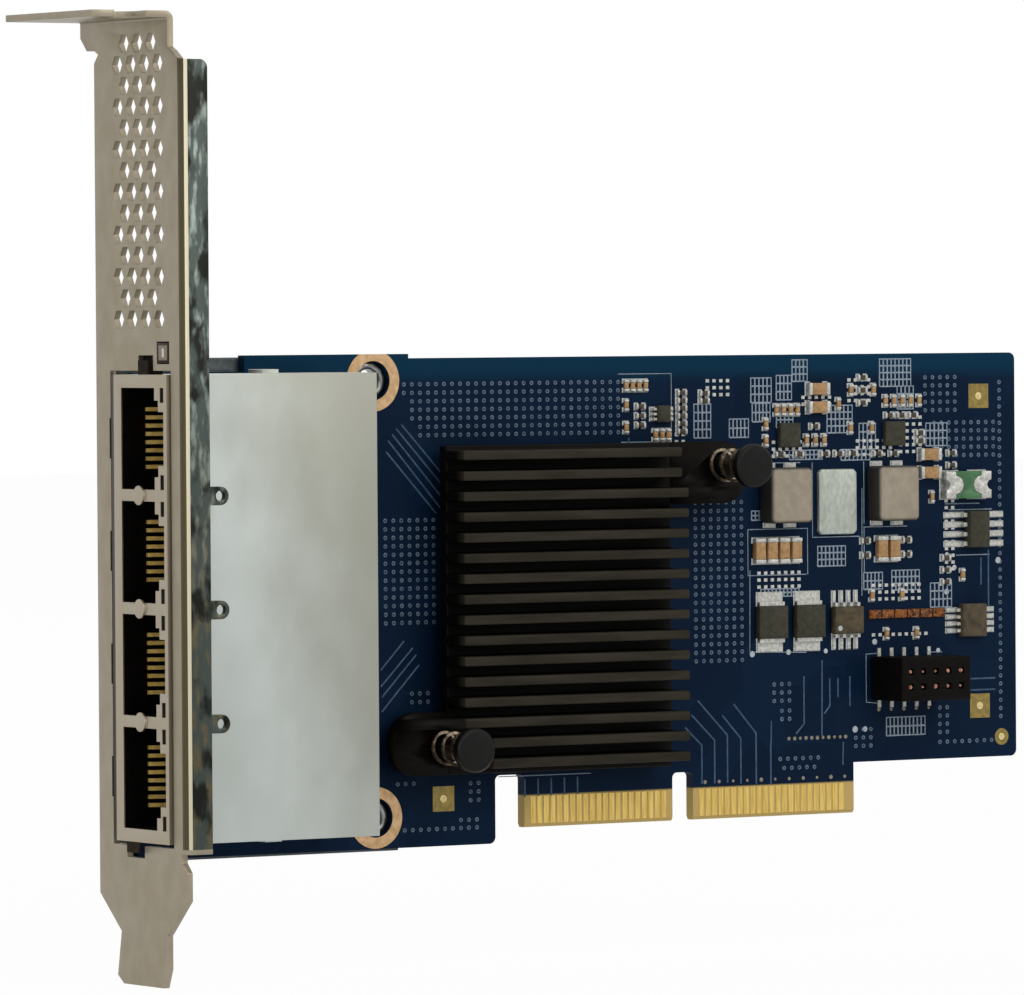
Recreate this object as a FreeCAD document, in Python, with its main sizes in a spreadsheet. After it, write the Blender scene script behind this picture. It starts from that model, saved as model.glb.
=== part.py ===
import FreeCAD, Part
import math
import os
import types

import Sketcher
from FreeCAD import Vector

# A four-port network adapter: an upright printed circuit board that plugs downwards into
# a two-section card-edge connector, with a folded steel bracket at its left end, a ganged
# modular-jack block behind the bracket, and a finned heat sink over the controller.
#
# Card frame used by every sketch: X runs along the board from the outer face of the
# bracket, Y is depth (0 on the component face of the board, negative towards the
# components), Z is up from the lower edge of the contact tongues.
# Each object is then placed so that the model's origin lies at the key slot of the card
# edge, on the mid-plane of the board.

SIZES = {
    # the board and its outline
    "board_thick": 1.57, "board_left": 3.0, "board_right": 137.4, "board_top": 60.1,
    "strip_from": 18.8, "strip_to": 42.9, "strip_rise": 0.55, "corner_drop": 1.5,
    "apron_drop": 1.9, "apron_end": 55.5, "apron_gap": 4.4, "apron_gap_top": 6.8,
    "key_at": 84.2, "key_width": 3.2, "key_top": 6.2, "tongue_end": 111.1,
    "shoulder_height": 6.6, "board_corner": 0.9, "slot_corner": 0.7, "edge_bevel": 0.3,
    "bevel_run": 0.45,
    # gold contacts on the tongues
    "contact_pitch": 1.0, "contact_width": 0.74, "contact_top": 3.95, "contact_thick": 0.05,
    "contact_margin": 1.3, "first_contacts": 21, "second_contacts": 23,
    # the folded bracket
    "sheet_thick": 0.86, "bend_radius": 1.07, "inner_bend": 0.25, "blade_near": 17.5,
    "blade_far": 4.4, "blade_top": 97.0, "tab_top": 103.0, "tab_reach": 10.57,
    "head_near": 13.8, "head_far": 7.8, "head_bottom": 98.6, "head_corner": 1.6,
    "waist_cut": 1.0, "taper_top": 6.0, "taper_bottom": 10.5, "tip_depth": 17.0,
    "tip_near": 12.2, "tip_far": 0.9, "tip_flare": 1.0, "tip_corner": 1.0,
    "tip_corner_rise": 2.4, "tongue_inset": 0.4, "flange_reach": 3.5, "flange_low": 0.3,
    "relief_depth": 1.6, "relief_drop": 1.1, "relief_slope": 2.24, "screw_notch": 4.42, "screw_notch_deep": 5.1,
    "screw_notch_at": 5.2, "eyelet_reach": 6.1, "eyelet_width": 2.3, "eyelet_hole": 1.3,
    # the two arms folded back behind the board
    "arm_top": 60.4, "arm_low": 2.3, "arm_width": 3.1, "paddle_from": 33.0,
    "paddle_slope": 1.8, "paddle_margin": 4.3, "paddle_corner": 1.6,
    # the vent field in the bracket
    "vent_across": 2.15, "vent_pitch": 3.3, "vent_row": 2.62, "vent_centre": 6.3,
    "vent_top": 99.3, "vent_pairs": 7,
    # the jack block
    "port_pitch": 13.97, "jack_middle": 29.6, "jack_tall": 57.7, "jack_front": 0.4,
    "jack_back": 29.9, "jack_rise": 13.55, "shield_thick": 0.25, "shell_clear": 0.05,
    "cutout_gap": 0.45, "cutout_far": 0.9, "port_tall": 12.5, "port_near": 10.6,
    "port_far": 2.4, "port_deep": 13.0, "latch_tall": 6.6, "latch_near": 12.8,
    "latch_step": 0.9, "latch_step_tall": 9.4, "lamp_tall": 1.8, "lamp_width": 0.9,
    "lamp_at": 12.4, "lamp_offset": 5.35, "lamp_deep": 2.2, "lens_clear": 0.06,
    "dimple_dia": 2.4, "dimple_rise": 0.3, "dimple_at": 7.0,
    "wire_thick": 0.35, "wire_pitch": 1.02, "wire_start": 3.0, "wire_end": 11.5,
    "wire_lift": 3.45, "wire_clear": 0.12, "tail_size": 0.5, "tail_hole": 0.9,
    "tail_out": 1.1, "tail_across": 3.4, "tail_up": 2.54, "tail_row": 15.6,
    "notch_near": 9.7, "notch_far": 6.1, "notch_deep": 1.9, "low_notch_near": 6.8,
    "low_notch_far": 2.5, "low_notch_deep": 1.5, "finger_thick": 0.25, "finger_margin": 0.6,
    "side_finger": 5.0, "nub_at": 17.4, "nub_width": 2.4, "nub_rise": 0.5, "nub_depth": 3.4,
    # the light pipe above the ports
    "window_near": 13.7, "window_far": 10.6, "window_low": 59.75, "window_high": 62.5,
    "window_gap": 0.12, "pipe_deep": 2.6, "pipe_lip": 0.5, "pipe_lip_thick": 1.0,
    # threaded bushes in the two mounting holes
    "bush_at": 37.6, "bush_up": 57.3, "bush_down": 2.05, "bush_dia": 4.6, "bush_bore": 2.9,
    "bush_flange": 6.6, "bush_flange_thick": 0.8, "bush_clear": 0.2, "bush_press": 0.03,
    "bush_recess": 0.9, "bush_lead": 0.35, "land_dia": 7.8, "land_thick": 0.05,
    # the controller package and its heat sink
    "chip_x": 63.15, "chip_z": 28.2, "chip_size": 23.0, "chip_base": 0.9, "chip_cap": 21.0,
    "chip_thick": 1.9, "pad_thick": 0.2,
    "sink_left": 46.1, "sink_right": 80.2, "sink_low": 7.3, "sink_high": 49.0,
    "sink_base": 1.6, "fin_tall": 4.3, "fin_count": 16, "fin_pitch": 2.602,
    "fin_thick": 1.2, "fin_first": 8.77, "ear_left": 38.0, "ear_right": 92.0,
    "ear_tall": 8.0, "ear_corner": 3.6, "ear_fin_left": 38.4, "ear_fin_right": 87.9,
    "pin_bay_low": 4.1, "pin_bay_high": 1.0,
    # push pins and their springs
    "pin_low_x": 45.0, "pin_low_z": 10.83, "pin_high_x": 87.5, "pin_high_z": 45.96,
    "pin_shaft": 2.6, "pin_clear": 0.3, "pin_head": 5.6, "pin_head_thick": 1.3,
    "pin_stand": 12.5, "pin_dome": 0.3, "barb_long": 2.4, "barb_out": 0.5, "barb_gap": 0.1,
    "barb_slit": 0.5, "spring_dia": 4.0, "spring_wire": 0.5, "spring_turns": 3.0,
    "spring_gap": 0.05,
    # two-terminal parts in two case sizes
    "large_length": 3.3, "large_width": 1.6, "large_height": 0.95, "large_end": 0.55,
    "small_length": 1.5, "small_width": 0.7, "small_height": 0.45, "small_end": 0.35,
    "end_skin": 0.04,
    "fuse_x": 128.9, "fuse_z": 42.7, "fuse_length": 7.3, "fuse_width": 3.6,
    "fuse_height": 1.5, "fuse_end": 1.6, "fuse_bite": 1.3, "fuse_bulge": 2.4,
    # wound inductors and the low can between them
    "coil_width": 6.5, "coil_tall": 7.2, "coil_height": 3.2, "coil_corner": 0.7,
    "coil_edge": 0.35, "coil_z": 41.8, "coil_left_x": 99.6, "coil_right_x": 116.6,
    "coil_foot": 1.7, "coil_foot_thick": 0.2, "coil_foot_out": 0.5,
    "can_x": 108.5, "can_z": 40.8, "can_width": 6.1, "can_tall": 8.6, "can_height": 0.6,
    "can_corner": 0.5,
    # packages with leads
    "draft_angle": 7.0, "lead_thick": 0.2, "lead_knee": 0.3, "standoff": 0.1,
    "memory_x": 130.6, "memory_z": 36.8, "memory_wide": 3.3, "memory_long": 4.9,
    "memory_height": 1.5, "memory_span": 9.4, "memory_pitch": 1.27, "memory_lead": 0.55,
    "switch_x": 97.9, "switch_step": 5.9, "switch_z": 25.3, "switch_wide": 4.3,
    "switch_long": 4.6, "switch_height": 1.05, "switch_span": 7.6, "switch_lead": 3.9,
    "driver_x": 109.8, "driver_z": 25.3, "driver_wide": 3.6, "driver_long": 4.6,
    "driver_height": 1.2, "driver_span": 7.5, "driver_pitch": 1.17, "driver_lead": 0.45,
    "monitor_x": 129.9, "monitor_z": 24.8, "monitor_wide": 4.0, "monitor_long": 4.4,
    "monitor_height": 1.2, "monitor_span": 7.6, "monitor_pitch": 0.9, "monitor_lead": 0.4,
    "logic_x": 81.2, "logic_z": 52.6, "logic_wide": 2.0, "logic_long": 2.2,
    "logic_height": 0.8, "logic_span": 3.4, "logic_pitch": 0.65, "logic_lead": 0.3,
    # leadless packages and the row of small arrays
    "regulator_size": 3.2, "regulator_height": 0.9, "regulator_x": 100.9,
    "regulator_step": 16.7, "regulator_z": 49.6, "regulator_edge": 0.12,
    "array_x": 114.5, "array_z": 25.9, "array_step": 2.05, "array_count": 6,
    "array_long": 1.9, "array_wide": 1.2, "array_height": 0.45,
    # the two-row socket header
    "header_x": 119.2, "header_z": 17.55, "header_long": 11.0, "header_wide": 5.7,
    "header_tall": 7.5, "header_pitch": 2.0, "header_hole": 0.8, "header_hole_deep": 4.0,
    "header_span": 7.8, "header_pin": 0.5, "header_gap": 0.4, "header_ways": 5,
    # bare copper marks and the tooling hole
    "mark_size": 3.2, "mark_thick": 0.04, "mark_right_x": 131.5, "mark_high_z": 54.4,
    "mark_low_z": 13.4, "mark_left_x": 47.7, "mark_left_z": 4.1,
    "tooling_x": 135.0, "tooling_z": 9.2, "tooling_hole": 1.1, "tooling_land": 2.2,
}

# Rows of two-terminal parts: name, first centre X and Z, step along the row, count and
# the row's direction.  "wide" parts lie along X and "tall" ones stand along Z.
LARGE_WIDE = [("input_caps", 105.5, 53.2, 2.4, 2, "up"), ("rail_caps", 123.3, 44.4, 2.4, 2, "up")]
LARGE_TALL = [("bulk_caps", 96.1, 34.6, 1.9, 4, "across"),
              ("output_caps", 115.5, 34.5, 1.95, 2, "across")]
SMALL_WIDE = [
    ("strap_row", 84.3, 50.3, 1.0, 6, "up"), ("pull_row", 87.8, 54.2, 1.0, 2, "up"),
    ("logic_row", 77.9, 51.2, 1.2, 3, "up"), ("sense_row", 112.7, 53.7, 1.65, 3, "up"),
    ("divider_row", 121.9, 48.6, 1.05, 2, "up"), ("gate_row", 117.0, 52.0, 1.9, 3, "across"),
    ("left_snubbers", 99.6, 47.1, 3.0, 2, "across"), ("mid_snubbers", 106.7, 47.1, 2.2, 3, "across"),
    ("right_snubbers", 115.1, 47.0, 2.6, 2, "across"), ("rail_row", 127.0, 45.3, 1.6, 2, "up"),
    ("memory_row", 126.0, 29.9, 1.6, 3, "up"), ("left_loads", 113.1, 33.7, 1.9, 2, "up"),
    ("right_loads", 119.7, 33.7, 1.9, 2, "up"), ("clamp", 105.1, 50.7, None, 1, "up"),
]
SMALL_TALL = [
    ("clock_row", 75.7, 56.3, 1.0, 4, "across"), ("clock_column", 75.7, 50.9, 2.9, 2, "up"),
    ("reset_row", 80.2, 49.9, 1.0, 3, "across"), ("control_row", 99.1, 52.9, 1.1, 4, "across"),
    ("feedback_row", 103.8, 48.9, 1.4, 3, "across"), ("boot_row", 97.4, 48.9, 2.2, 2, "up"),
    ("sense_pair", 110.9, 55.4, 3.6, 2, "across"), ("phase_row", 116.4, 53.9, 1.35, 5, "across"),
    ("ramp_pair", 110.8, 50.4, 3.4, 2, "across"), ("filter_caps", 123.8, 41.2, None, 1, "across"),
    ("upper_strip", 114.1, 28.4, 4.8, 2, "across"), ("lower_strip", 116.4, 23.3, 4.8, 2, "across"),
    ("memory_caps", 128.7, 30.8, None, 1, "across"), ("enable_cap", 108.9, 53.6, None, 1, "across"),
]

FRONT = "XZ_Plane"
SIDE = "YZ_Plane"
PLAN = "XY_Plane"
PORTS = 4
TAILS = 5
WIRES = 8

document = FreeCAD.newDocument("network_adapter")
sheet = document.addObject("Spreadsheet::Sheet", "Dims")
pieces = []


class Size:
    """A length that carries both its value and the sheet expression behind it."""

    def __init__(self, value, text):
        self.value = value
        self.text = text

    @staticmethod
    def of(number):
        """The number as a size; a size stays as it is."""
        return number if isinstance(number, Size) else Size(float(number), f"{float(number)}")

    def __add__(self, other):
        other = Size.of(other)
        return Size(self.value + other.value, f"({self.text} + {other.text})")

    def __sub__(self, other):
        other = Size.of(other)
        return Size(self.value - other.value, f"({self.text} - {other.text})")

    def __mul__(self, other):
        other = Size.of(other)
        return Size(self.value * other.value, f"({self.text} * {other.text})")

    def __truediv__(self, other):
        other = Size.of(other)
        return Size(self.value / other.value, f"({self.text} / {other.text})")

    def __neg__(self):
        return Size(-self.value, f"(-{self.text})")

    __radd__ = __add__

    def __rsub__(self, other):
        return Size.of(other) - self

    def is_near(self, number):
        """Whether a plain number equals this size."""
        return abs(self.value - number) < 1e-4


def write_sheet():
    """Fill the sheet with every driving size and give each one as an attribute."""
    rows = dict(SIZES)
    for name, x, z, step, _, _ in LARGE_WIDE + LARGE_TALL + SMALL_WIDE + SMALL_TALL:
        rows[f"{name}_x"] = x
        rows[f"{name}_z"] = z
        if step is not None:
            rows[f"{name}_step"] = step
    for row, (alias, number) in enumerate(rows.items(), start=1):
        sheet.set(f"A{row}", alias)
        sheet.set(f"B{row}", str(number))
        sheet.setAlias(f"B{row}", alias)
    document.recompute()
    return types.SimpleNamespace(**{alias: Size(number, f"Dims.{alias}")
                                    for alias, number in rows.items()})


class Drawing:
    """A sketch on one of a body's own planes, with every point held by the sheet."""

    def __init__(self, body, plane, name, offset):
        self.sketch = body.newObject("Sketcher::SketchObject", name)
        datum = next(item for item in body.Origin.OriginFeatures if item.Role == plane)
        self.sketch.AttachmentSupport = [(datum, "")]
        self.sketch.MapMode = "FlatFace"
        self.sketch.setExpression("AttachmentOffset.Base.z", Size.of(offset).text)
        self.curves = []
        self.rules = []
        self.bindings = []

    def hold(self, kind, size, *where):
        """Add a dimension whose datum follows a size."""
        self.bindings.append((len(self.rules), size.text))
        self.rules.append(Sketcher.Constraint(kind, *where, size.value))

    def outline(self, corners):
        """Draw a closed outline through corners given as pairs of sizes."""
        corners = [(Size.of(across), Size.of(up)) for across, up in corners]
        spots = [Vector(across.value, up.value, 0) for across, up in corners]
        first = len(self.curves)
        for count, (across, up) in enumerate(corners):
            following = (count + 1) % len(corners)
            self.curves.append(Part.LineSegment(spots[count], spots[following]))
            self.rules.append(Sketcher.Constraint("Coincident", first + count, 2,
                                                  first + following, 1))
            self.hold("DistanceX", across, -1, 1, first + count, 1)
            self.hold("DistanceY", up, -1, 1, first + count, 1)

    def rectangle(self, left, right, low, high):
        """Draw a rectangle between four sizes."""
        self.outline([(left, low), (right, low), (right, high), (left, high)])

    def box(self, across, up, wide, tall):
        """Draw a rectangle about a centre."""
        across, up, wide, tall = (Size.of(size) for size in (across, up, wide, tall))
        self.rectangle(across - wide / 2, across + wide / 2, up - tall / 2, up + tall / 2)

    def circle(self, across, up, diameter):
        """Draw a circle about a centre."""
        across, up = Size.of(across), Size.of(up)
        index = len(self.curves)
        centre = Vector(across.value, up.value, 0)
        self.curves.append(Part.Circle(centre, Vector(0, 0, 1), diameter.value / 2))
        self.hold("DistanceX", across, -1, 1, index, 3)
        self.hold("DistanceY", up, -1, 1, index, 3)
        self.hold("Diameter", diameter, index)

    def polygon(self, across, up, diameter, sides):
        """Draw a regular polygon with its corners on a circle about a centre."""
        turns = [math.pi * (2 * side + 1) / sides for side in range(sides)]
        self.outline([(Size.of(across) + diameter * (math.cos(turn) / 2),
                       Size.of(up) + diameter * (math.sin(turn) / 2)) for turn in turns])

    def finish(self):
        """Write the drawn curves and dimensions into the sketch."""
        if self.curves:
            self.sketch.addGeometry(self.curves, False)
            self.sketch.addConstraint(self.rules)
            for number, text in self.bindings:
                self.sketch.setExpression(f"Constraints[{number}]", text)
            self.curves = []
        return self.sketch


class Piece:
    """One sub-part: a body placed in the model's frame, built feature by feature."""

    def __init__(self, label, x=0.0, z=0.0):
        self.body = document.addObject("PartDesign::Body", label)
        self.body.Label = label
        seat(self.body, x, z)
        self.drawings = 0
        pieces.append(self.body)

    def draw(self, plane, offset=0.0):
        """Start a drawing on an origin plane, moved along the plane's normal."""
        self.drawings += 1
        return Drawing(self.body, plane, f"{self.body.Name}_s{self.drawings}", offset)

    def pad(self, drawing, length, reverse=False, draft=None):
        """Raise a drawing along its normal, or against it."""
        feature = self.body.newObject("PartDesign::Pad", f"{self.body.Name}_pad")
        feature.Profile = drawing.finish()
        feature.Reversed = reverse
        feature.setExpression("Length", length.text)
        if draft is not None:
            feature.setExpression("TaperAngle", draft.text)
        return feature

    def cut(self, drawing, depth, reverse=False):
        """Pocket a drawing into the body and make sure that it removes material."""
        document.recompute()
        before = self.body.Shape.Volume
        feature = self.body.newObject("PartDesign::Pocket", f"{self.body.Name}_cut")
        feature.Profile = drawing.finish()
        feature.Reversed = reverse
        feature.setExpression("Length", depth.text)
        document.recompute()
        if self.body.Shape.Volume > before - 1e-6:
            raise RuntimeError(f"{feature.Name} removes nothing")
        return feature

    def row(self, features, drawing, axis, pitch, count, second=None, reverse=False):
        """Repeat features along an axis of a drawing, and along a second pitch."""
        pattern = self.body.newObject("PartDesign::LinearPattern", f"{self.body.Name}_row")
        pattern.Originals = features
        pattern.Direction = (drawing.sketch, [axis])
        pattern.Reversed = reverse
        pattern.Mode = "Spacing"
        pattern.setExpression("Offset", pitch.text)
        pattern.setExpression("Occurrences", Size.of(count).text)
        if second:
            pattern.Direction2 = (drawing.sketch, [second[0]])
            pattern.Mode2 = "Extent"
            pattern.setExpression("Length2", (second[1] * (Size.of(second[2]) - 1)).text)
            pattern.setExpression("Occurrences2", Size.of(second[2]).text)
        self.body.Tip = pattern
        return pattern

    def revolve(self, drawing):
        """Turn a half profile about the upright axis of its drawing."""
        feature = self.body.newObject("PartDesign::Revolution", f"{self.body.Name}_turn")
        feature.Profile = drawing.finish()
        feature.ReferenceAxis = (drawing.sketch, ["V_Axis"])
        feature.Angle = 360
        return feature

    def dress(self, kind, size, test, depthwise=False):
        """Fillet or chamfer the edges whose two ends pass a test, or only those along Y."""
        document.recompute()
        base = self.body.Tip
        names = []
        for number, edge in enumerate(base.Shape.Edges, start=1):
            ends = [end.Point for end in edge.Vertexes]
            if len(ends) == 2 and all(test(spot) for spot in ends):
                run = ends[1] - ends[0]
                if not depthwise or abs(run.y) > run.Length * 0.99:
                    names.append(f"Edge{number}")
        feature = self.body.newObject(f"PartDesign::{kind}", f"{self.body.Name}_{kind.lower()}")
        feature.Base = (base, names)
        feature.setExpression("Radius" if kind == "Fillet" else "Size", size.text)
        document.recompute()
        return feature


def seat(item, x=0.0, z=0.0):
    """Place an object of the card frame in the model's own frame."""
    item.setExpression("Placement.Base.x", (Size.of(x) - dim.key_at).text)
    item.setExpression("Placement.Base.y", (-dim.board_thick / 2).text)
    item.setExpression("Placement.Base.z", Size.of(z).text)


# ---------------------------------------------------------------- the circuit board
def tail_centres():
    """Lowest pin of each of the two staggered columns under the lowest port."""
    for column in range(2):
        yield (dim.tail_row + dim.tail_across * column,
               port_centre() + dim.tail_up * ((column - TAILS + 0.5) / 2))


def port_centre(number=0):
    """Height of a port's centre, counted from the lowest."""
    return dim.jack_middle + dim.port_pitch * (number - (PORTS - 1) / 2)


def make_board():
    """The bare board with its slots, holes and bevelled contact tongues."""
    piece = Piece("circuit_board")
    slot_left = dim.apron_end + dim.apron_gap
    key_left = dim.key_at - dim.key_width / 2
    key_right = dim.key_at + dim.key_width / 2
    strip_top = dim.board_top + dim.strip_rise
    left_top = dim.board_top - dim.corner_drop
    drawing = piece.draw(FRONT)
    drawing.outline([
        (dim.board_left, -dim.apron_drop), (dim.apron_end, -dim.apron_drop),
        (dim.apron_end, dim.apron_gap_top), (slot_left, dim.apron_gap_top), (slot_left, 0),
        (key_left, 0), (key_left, dim.key_top), (key_right, dim.key_top), (key_right, 0),
        (dim.tongue_end, 0), (dim.tongue_end, dim.shoulder_height),
        (dim.board_right, dim.shoulder_height), (dim.board_right, dim.board_top),
        (dim.strip_to, dim.board_top), (dim.strip_to, strip_top), (dim.strip_from, strip_top),
        (dim.strip_from, left_top), (dim.board_left, left_top)])
    piece.pad(drawing, dim.board_thick, reverse=True)
    outer = [(dim.board_right, dim.board_top), (dim.board_right, dim.shoulder_height),
             (dim.apron_end, -dim.apron_drop)]
    piece.dress("Fillet", dim.board_corner, lambda spot: any(
        x.is_near(spot.x) and z.is_near(spot.z) for x, z in outer), depthwise=True)
    inner = [(dim.apron_end, dim.apron_gap_top), (slot_left, dim.apron_gap_top),
             (key_left, dim.key_top), (key_right, dim.key_top)]
    piece.dress("Fillet", dim.slot_corner, lambda spot: any(
        x.is_near(spot.x) and z.is_near(spot.z) for x, z in inner), depthwise=True)
    bevel = piece.draw(SIDE, slot_left - dim.apron_gap / 2)
    bevel.outline([(0, 0), (dim.edge_bevel, 0), (0, dim.bevel_run)])
    bevel.outline([(dim.board_thick, 0), (dim.board_thick, dim.bevel_run),
                   (dim.board_thick - dim.edge_bevel, 0)])
    piece.cut(bevel, dim.board_right - slot_left, reverse=True)
    holes = piece.draw(FRONT)
    for height in (dim.bush_up, dim.bush_down):
        holes.circle(dim.bush_at, height, dim.bush_dia + dim.bush_clear * 2)
    holes.circle(dim.pin_low_x, dim.pin_low_z, dim.pin_shaft + dim.pin_clear * 2)
    holes.circle(dim.pin_high_x, dim.pin_high_z, dim.pin_shaft + dim.pin_clear * 2)
    holes.circle(dim.tooling_x, dim.tooling_z, dim.tooling_hole)
    piece.cut(holes, dim.board_thick)
    tails = piece.draw(FRONT)
    for across, up in tail_centres():
        tails.polygon(across, up, dim.tail_hole, 4)
    cut = piece.cut(tails, dim.board_thick)
    piece.row([cut], tails, "V_Axis", dim.tail_up, TAILS,
              second=("V_Axis", dim.port_pitch, PORTS))


def make_contacts(label, back):
    """The gold fingers of one face of the board: one pad repeated along each tongue."""
    piece = Piece(label)
    starts = ((dim.apron_end + dim.apron_gap, dim.first_contacts),
              (dim.key_at + dim.key_width / 2, dim.second_contacts))
    for edge, count in starts:
        drawing = piece.draw(FRONT, -dim.board_thick if back else 0.0)
        middle = edge + dim.contact_margin
        drawing.rectangle(middle - dim.contact_width / 2, middle + dim.contact_width / 2,
                          dim.bevel_run, dim.contact_top)
        finger = piece.pad(drawing, dim.contact_thick, reverse=back)
        piece.row([finger], drawing, "H_Axis", dim.contact_pitch, count)


def make_lands():
    """Copper rings round the two plated mounting holes, cut off at the board's edge."""
    piece = Piece("mounting_lands")
    drawing = piece.draw(FRONT)
    for height in (dim.bush_up, dim.bush_down):
        drawing.circle(dim.bush_at, height, dim.land_dia)
        drawing.circle(dim.bush_at, height, dim.bush_dia + dim.bush_clear * 2)
    piece.pad(drawing, dim.land_thick)
    edge = dim.board_top + dim.strip_rise
    trim = piece.draw(FRONT, dim.land_thick)
    trim.rectangle(dim.bush_at - dim.land_dia, dim.bush_at + dim.land_dia, edge,
                   edge + dim.land_dia)
    piece.cut(trim, dim.land_thick)


def make_bushes():
    """Threaded bushes that clamp the bracket's arms, standing in the plated holes."""
    piece = Piece("mounting_bushes", dim.bush_at, dim.bush_down)
    back = dim.board_thick + dim.sheet_thick
    bore, shank, flange = dim.bush_bore / 2, dim.bush_dia / 2, dim.bush_flange / 2
    drawing = piece.draw(PLAN)
    drawing.outline([
        (bore + dim.bush_lead, dim.bush_recess), (shank, dim.bush_recess), (shank, back),
        (flange, back), (flange, back + dim.bush_flange_thick),
        (bore + dim.bush_lead, back + dim.bush_flange_thick),
        (bore, back + dim.bush_flange_thick - dim.bush_lead), (bore, dim.bush_recess + dim.bush_lead)])
    turned = piece.revolve(drawing)
    piece.row([turned], drawing, "N_Axis", dim.bush_up - dim.bush_down, 2)


# ---------------------------------------------------------------- the bracket
def make_bracket():
    """The folded sheet bracket: blade, screw tab, side flange and eyelets."""
    piece = Piece("io_bracket")
    near, far = -dim.blade_near, dim.blade_far
    inset = near + dim.tongue_inset
    blade = piece.draw(SIDE)
    blade.outline([
        (-dim.head_near, dim.tab_top), (dim.head_far, dim.tab_top),
        (dim.head_far, dim.head_bottom + dim.head_corner),
        (dim.head_far - dim.head_corner, dim.head_bottom), (far, dim.head_bottom),
        (far - dim.waist_cut, dim.head_bottom - dim.waist_cut / 2), (far, dim.blade_top),
        (far, -dim.taper_top), (-dim.tip_far, -dim.taper_bottom),
        (dim.tip_flare - dim.tip_far, dim.tip_corner - dim.tip_depth),
        (-dim.tip_far - dim.tip_corner / 2, -dim.tip_depth),
        (dim.tip_corner - dim.tip_near, -dim.tip_depth),
        (-dim.tip_near, dim.tip_corner_rise - dim.tip_depth), (-dim.tip_near, -dim.taper_bottom),
        (inset, -dim.taper_top), (inset, -dim.flange_low - dim.relief_slope),
        (near + dim.relief_depth, -dim.flange_low - dim.relief_drop),
        (near + dim.relief_depth, -dim.flange_low), (near, -dim.flange_low),
        (near, dim.blade_top), (near + dim.relief_drop, dim.blade_top),
        (-dim.head_near - dim.waist_cut, dim.head_bottom - dim.waist_cut / 2),
        (-dim.head_near, dim.head_bottom)])
    piece.pad(blade, dim.sheet_thick)
    tab = piece.draw(SIDE, dim.sheet_thick)
    tab.rectangle(-dim.head_near, dim.head_far, dim.tab_top - dim.sheet_thick, dim.tab_top)
    piece.pad(tab, dim.tab_reach + dim.sheet_thick, reverse=True)
    flange = piece.draw(SIDE)
    flange.rectangle(near, near + dim.sheet_thick, -dim.flange_low, dim.blade_top)
    piece.pad(flange, dim.flange_reach)
    under_tab = dim.tab_top - dim.sheet_thick
    beside_flange = near + dim.sheet_thick
    piece.dress("Fillet", dim.bend_radius, lambda spot: (
        abs(spot.x) < 1e-4 and near.is_near(spot.y) or
        dim.sheet_thick.is_near(spot.x) and dim.tab_top.is_near(spot.z)))
    piece.dress("Fillet", dim.inner_bend, lambda spot: (
        dim.sheet_thick.is_near(spot.x) and beside_flange.is_near(spot.y) or
        abs(spot.x) < 1e-4 and under_tab.is_near(spot.z)))
    piece.dress("Fillet", dim.bend_radius, lambda spot: (
        dim.flange_reach.is_near(spot.x) and dim.blade_top.is_near(spot.z)))
    add_eyelets(piece)
    cut_bracket(piece)


def add_eyelets(piece):
    """Three pierced lugs on the edge of the side flange, between the ports."""
    front = dim.blade_near - dim.sheet_thick
    middle = dim.eyelet_reach - dim.eyelet_width / 2
    heights = [dim.jack_middle + dim.port_pitch * step for step in (-1, 0, 1)]
    lugs = piece.draw(FRONT, front)
    for height in heights:
        lugs.rectangle(dim.flange_reach - dim.sheet_thick, middle,
                       height - dim.eyelet_width / 2, height + dim.eyelet_width / 2)
    piece.pad(lugs, dim.sheet_thick)
    rounds = piece.draw(FRONT, front)
    for height in heights:
        rounds.circle(middle, height, dim.eyelet_width)
    piece.pad(rounds, dim.sheet_thick)
    eyes = piece.draw(FRONT, dim.blade_near)
    for height in heights:
        eyes.circle(middle, height, dim.eyelet_hole)
    piece.cut(eyes, dim.sheet_thick)


def make_arms():
    """Two arms from the blade, behind the board, that widen round the mounting bushes."""
    piece = Piece("bracket_arms")
    paddle_end = dim.bush_at + dim.paddle_margin
    for edge, height, way in ((dim.arm_top, dim.bush_up, -1), (-dim.arm_low, dim.bush_down, 1)):
        inner = edge + dim.arm_width * way
        deep = height + dim.paddle_margin * way
        arm = piece.draw(FRONT, -dim.board_thick)
        arm.outline([(dim.sheet_thick, edge), (paddle_end, edge), (paddle_end, deep),
                     (dim.paddle_from + dim.paddle_slope, deep), (dim.paddle_from, inner),
                     (dim.sheet_thick, inner)])
        piece.pad(arm, dim.sheet_thick, reverse=True)
        piece.dress("Fillet", dim.paddle_corner, lambda spot, far=paddle_end, low=deep: (
            far.is_near(spot.x) and low.is_near(spot.z)), depthwise=True)
    eyes = piece.draw(FRONT, -dim.board_thick)
    for height in (dim.bush_up, dim.bush_down):
        eyes.circle(dim.bush_at, height, dim.bush_dia + dim.bush_press * 2)
    piece.cut(eyes, dim.sheet_thick)


def vent(drawing, across, up):
    """One vent opening: a hexagon with two points along the blade's width."""
    reach = dim.vent_across / math.sqrt(3)
    half = dim.vent_across / 2
    drawing.outline([(across - reach, up), (across - reach / 2, up - half),
                     (across + reach / 2, up - half), (across + reach, up),
                     (across + reach / 2, up + half), (across - reach / 2, up + half)])


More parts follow.
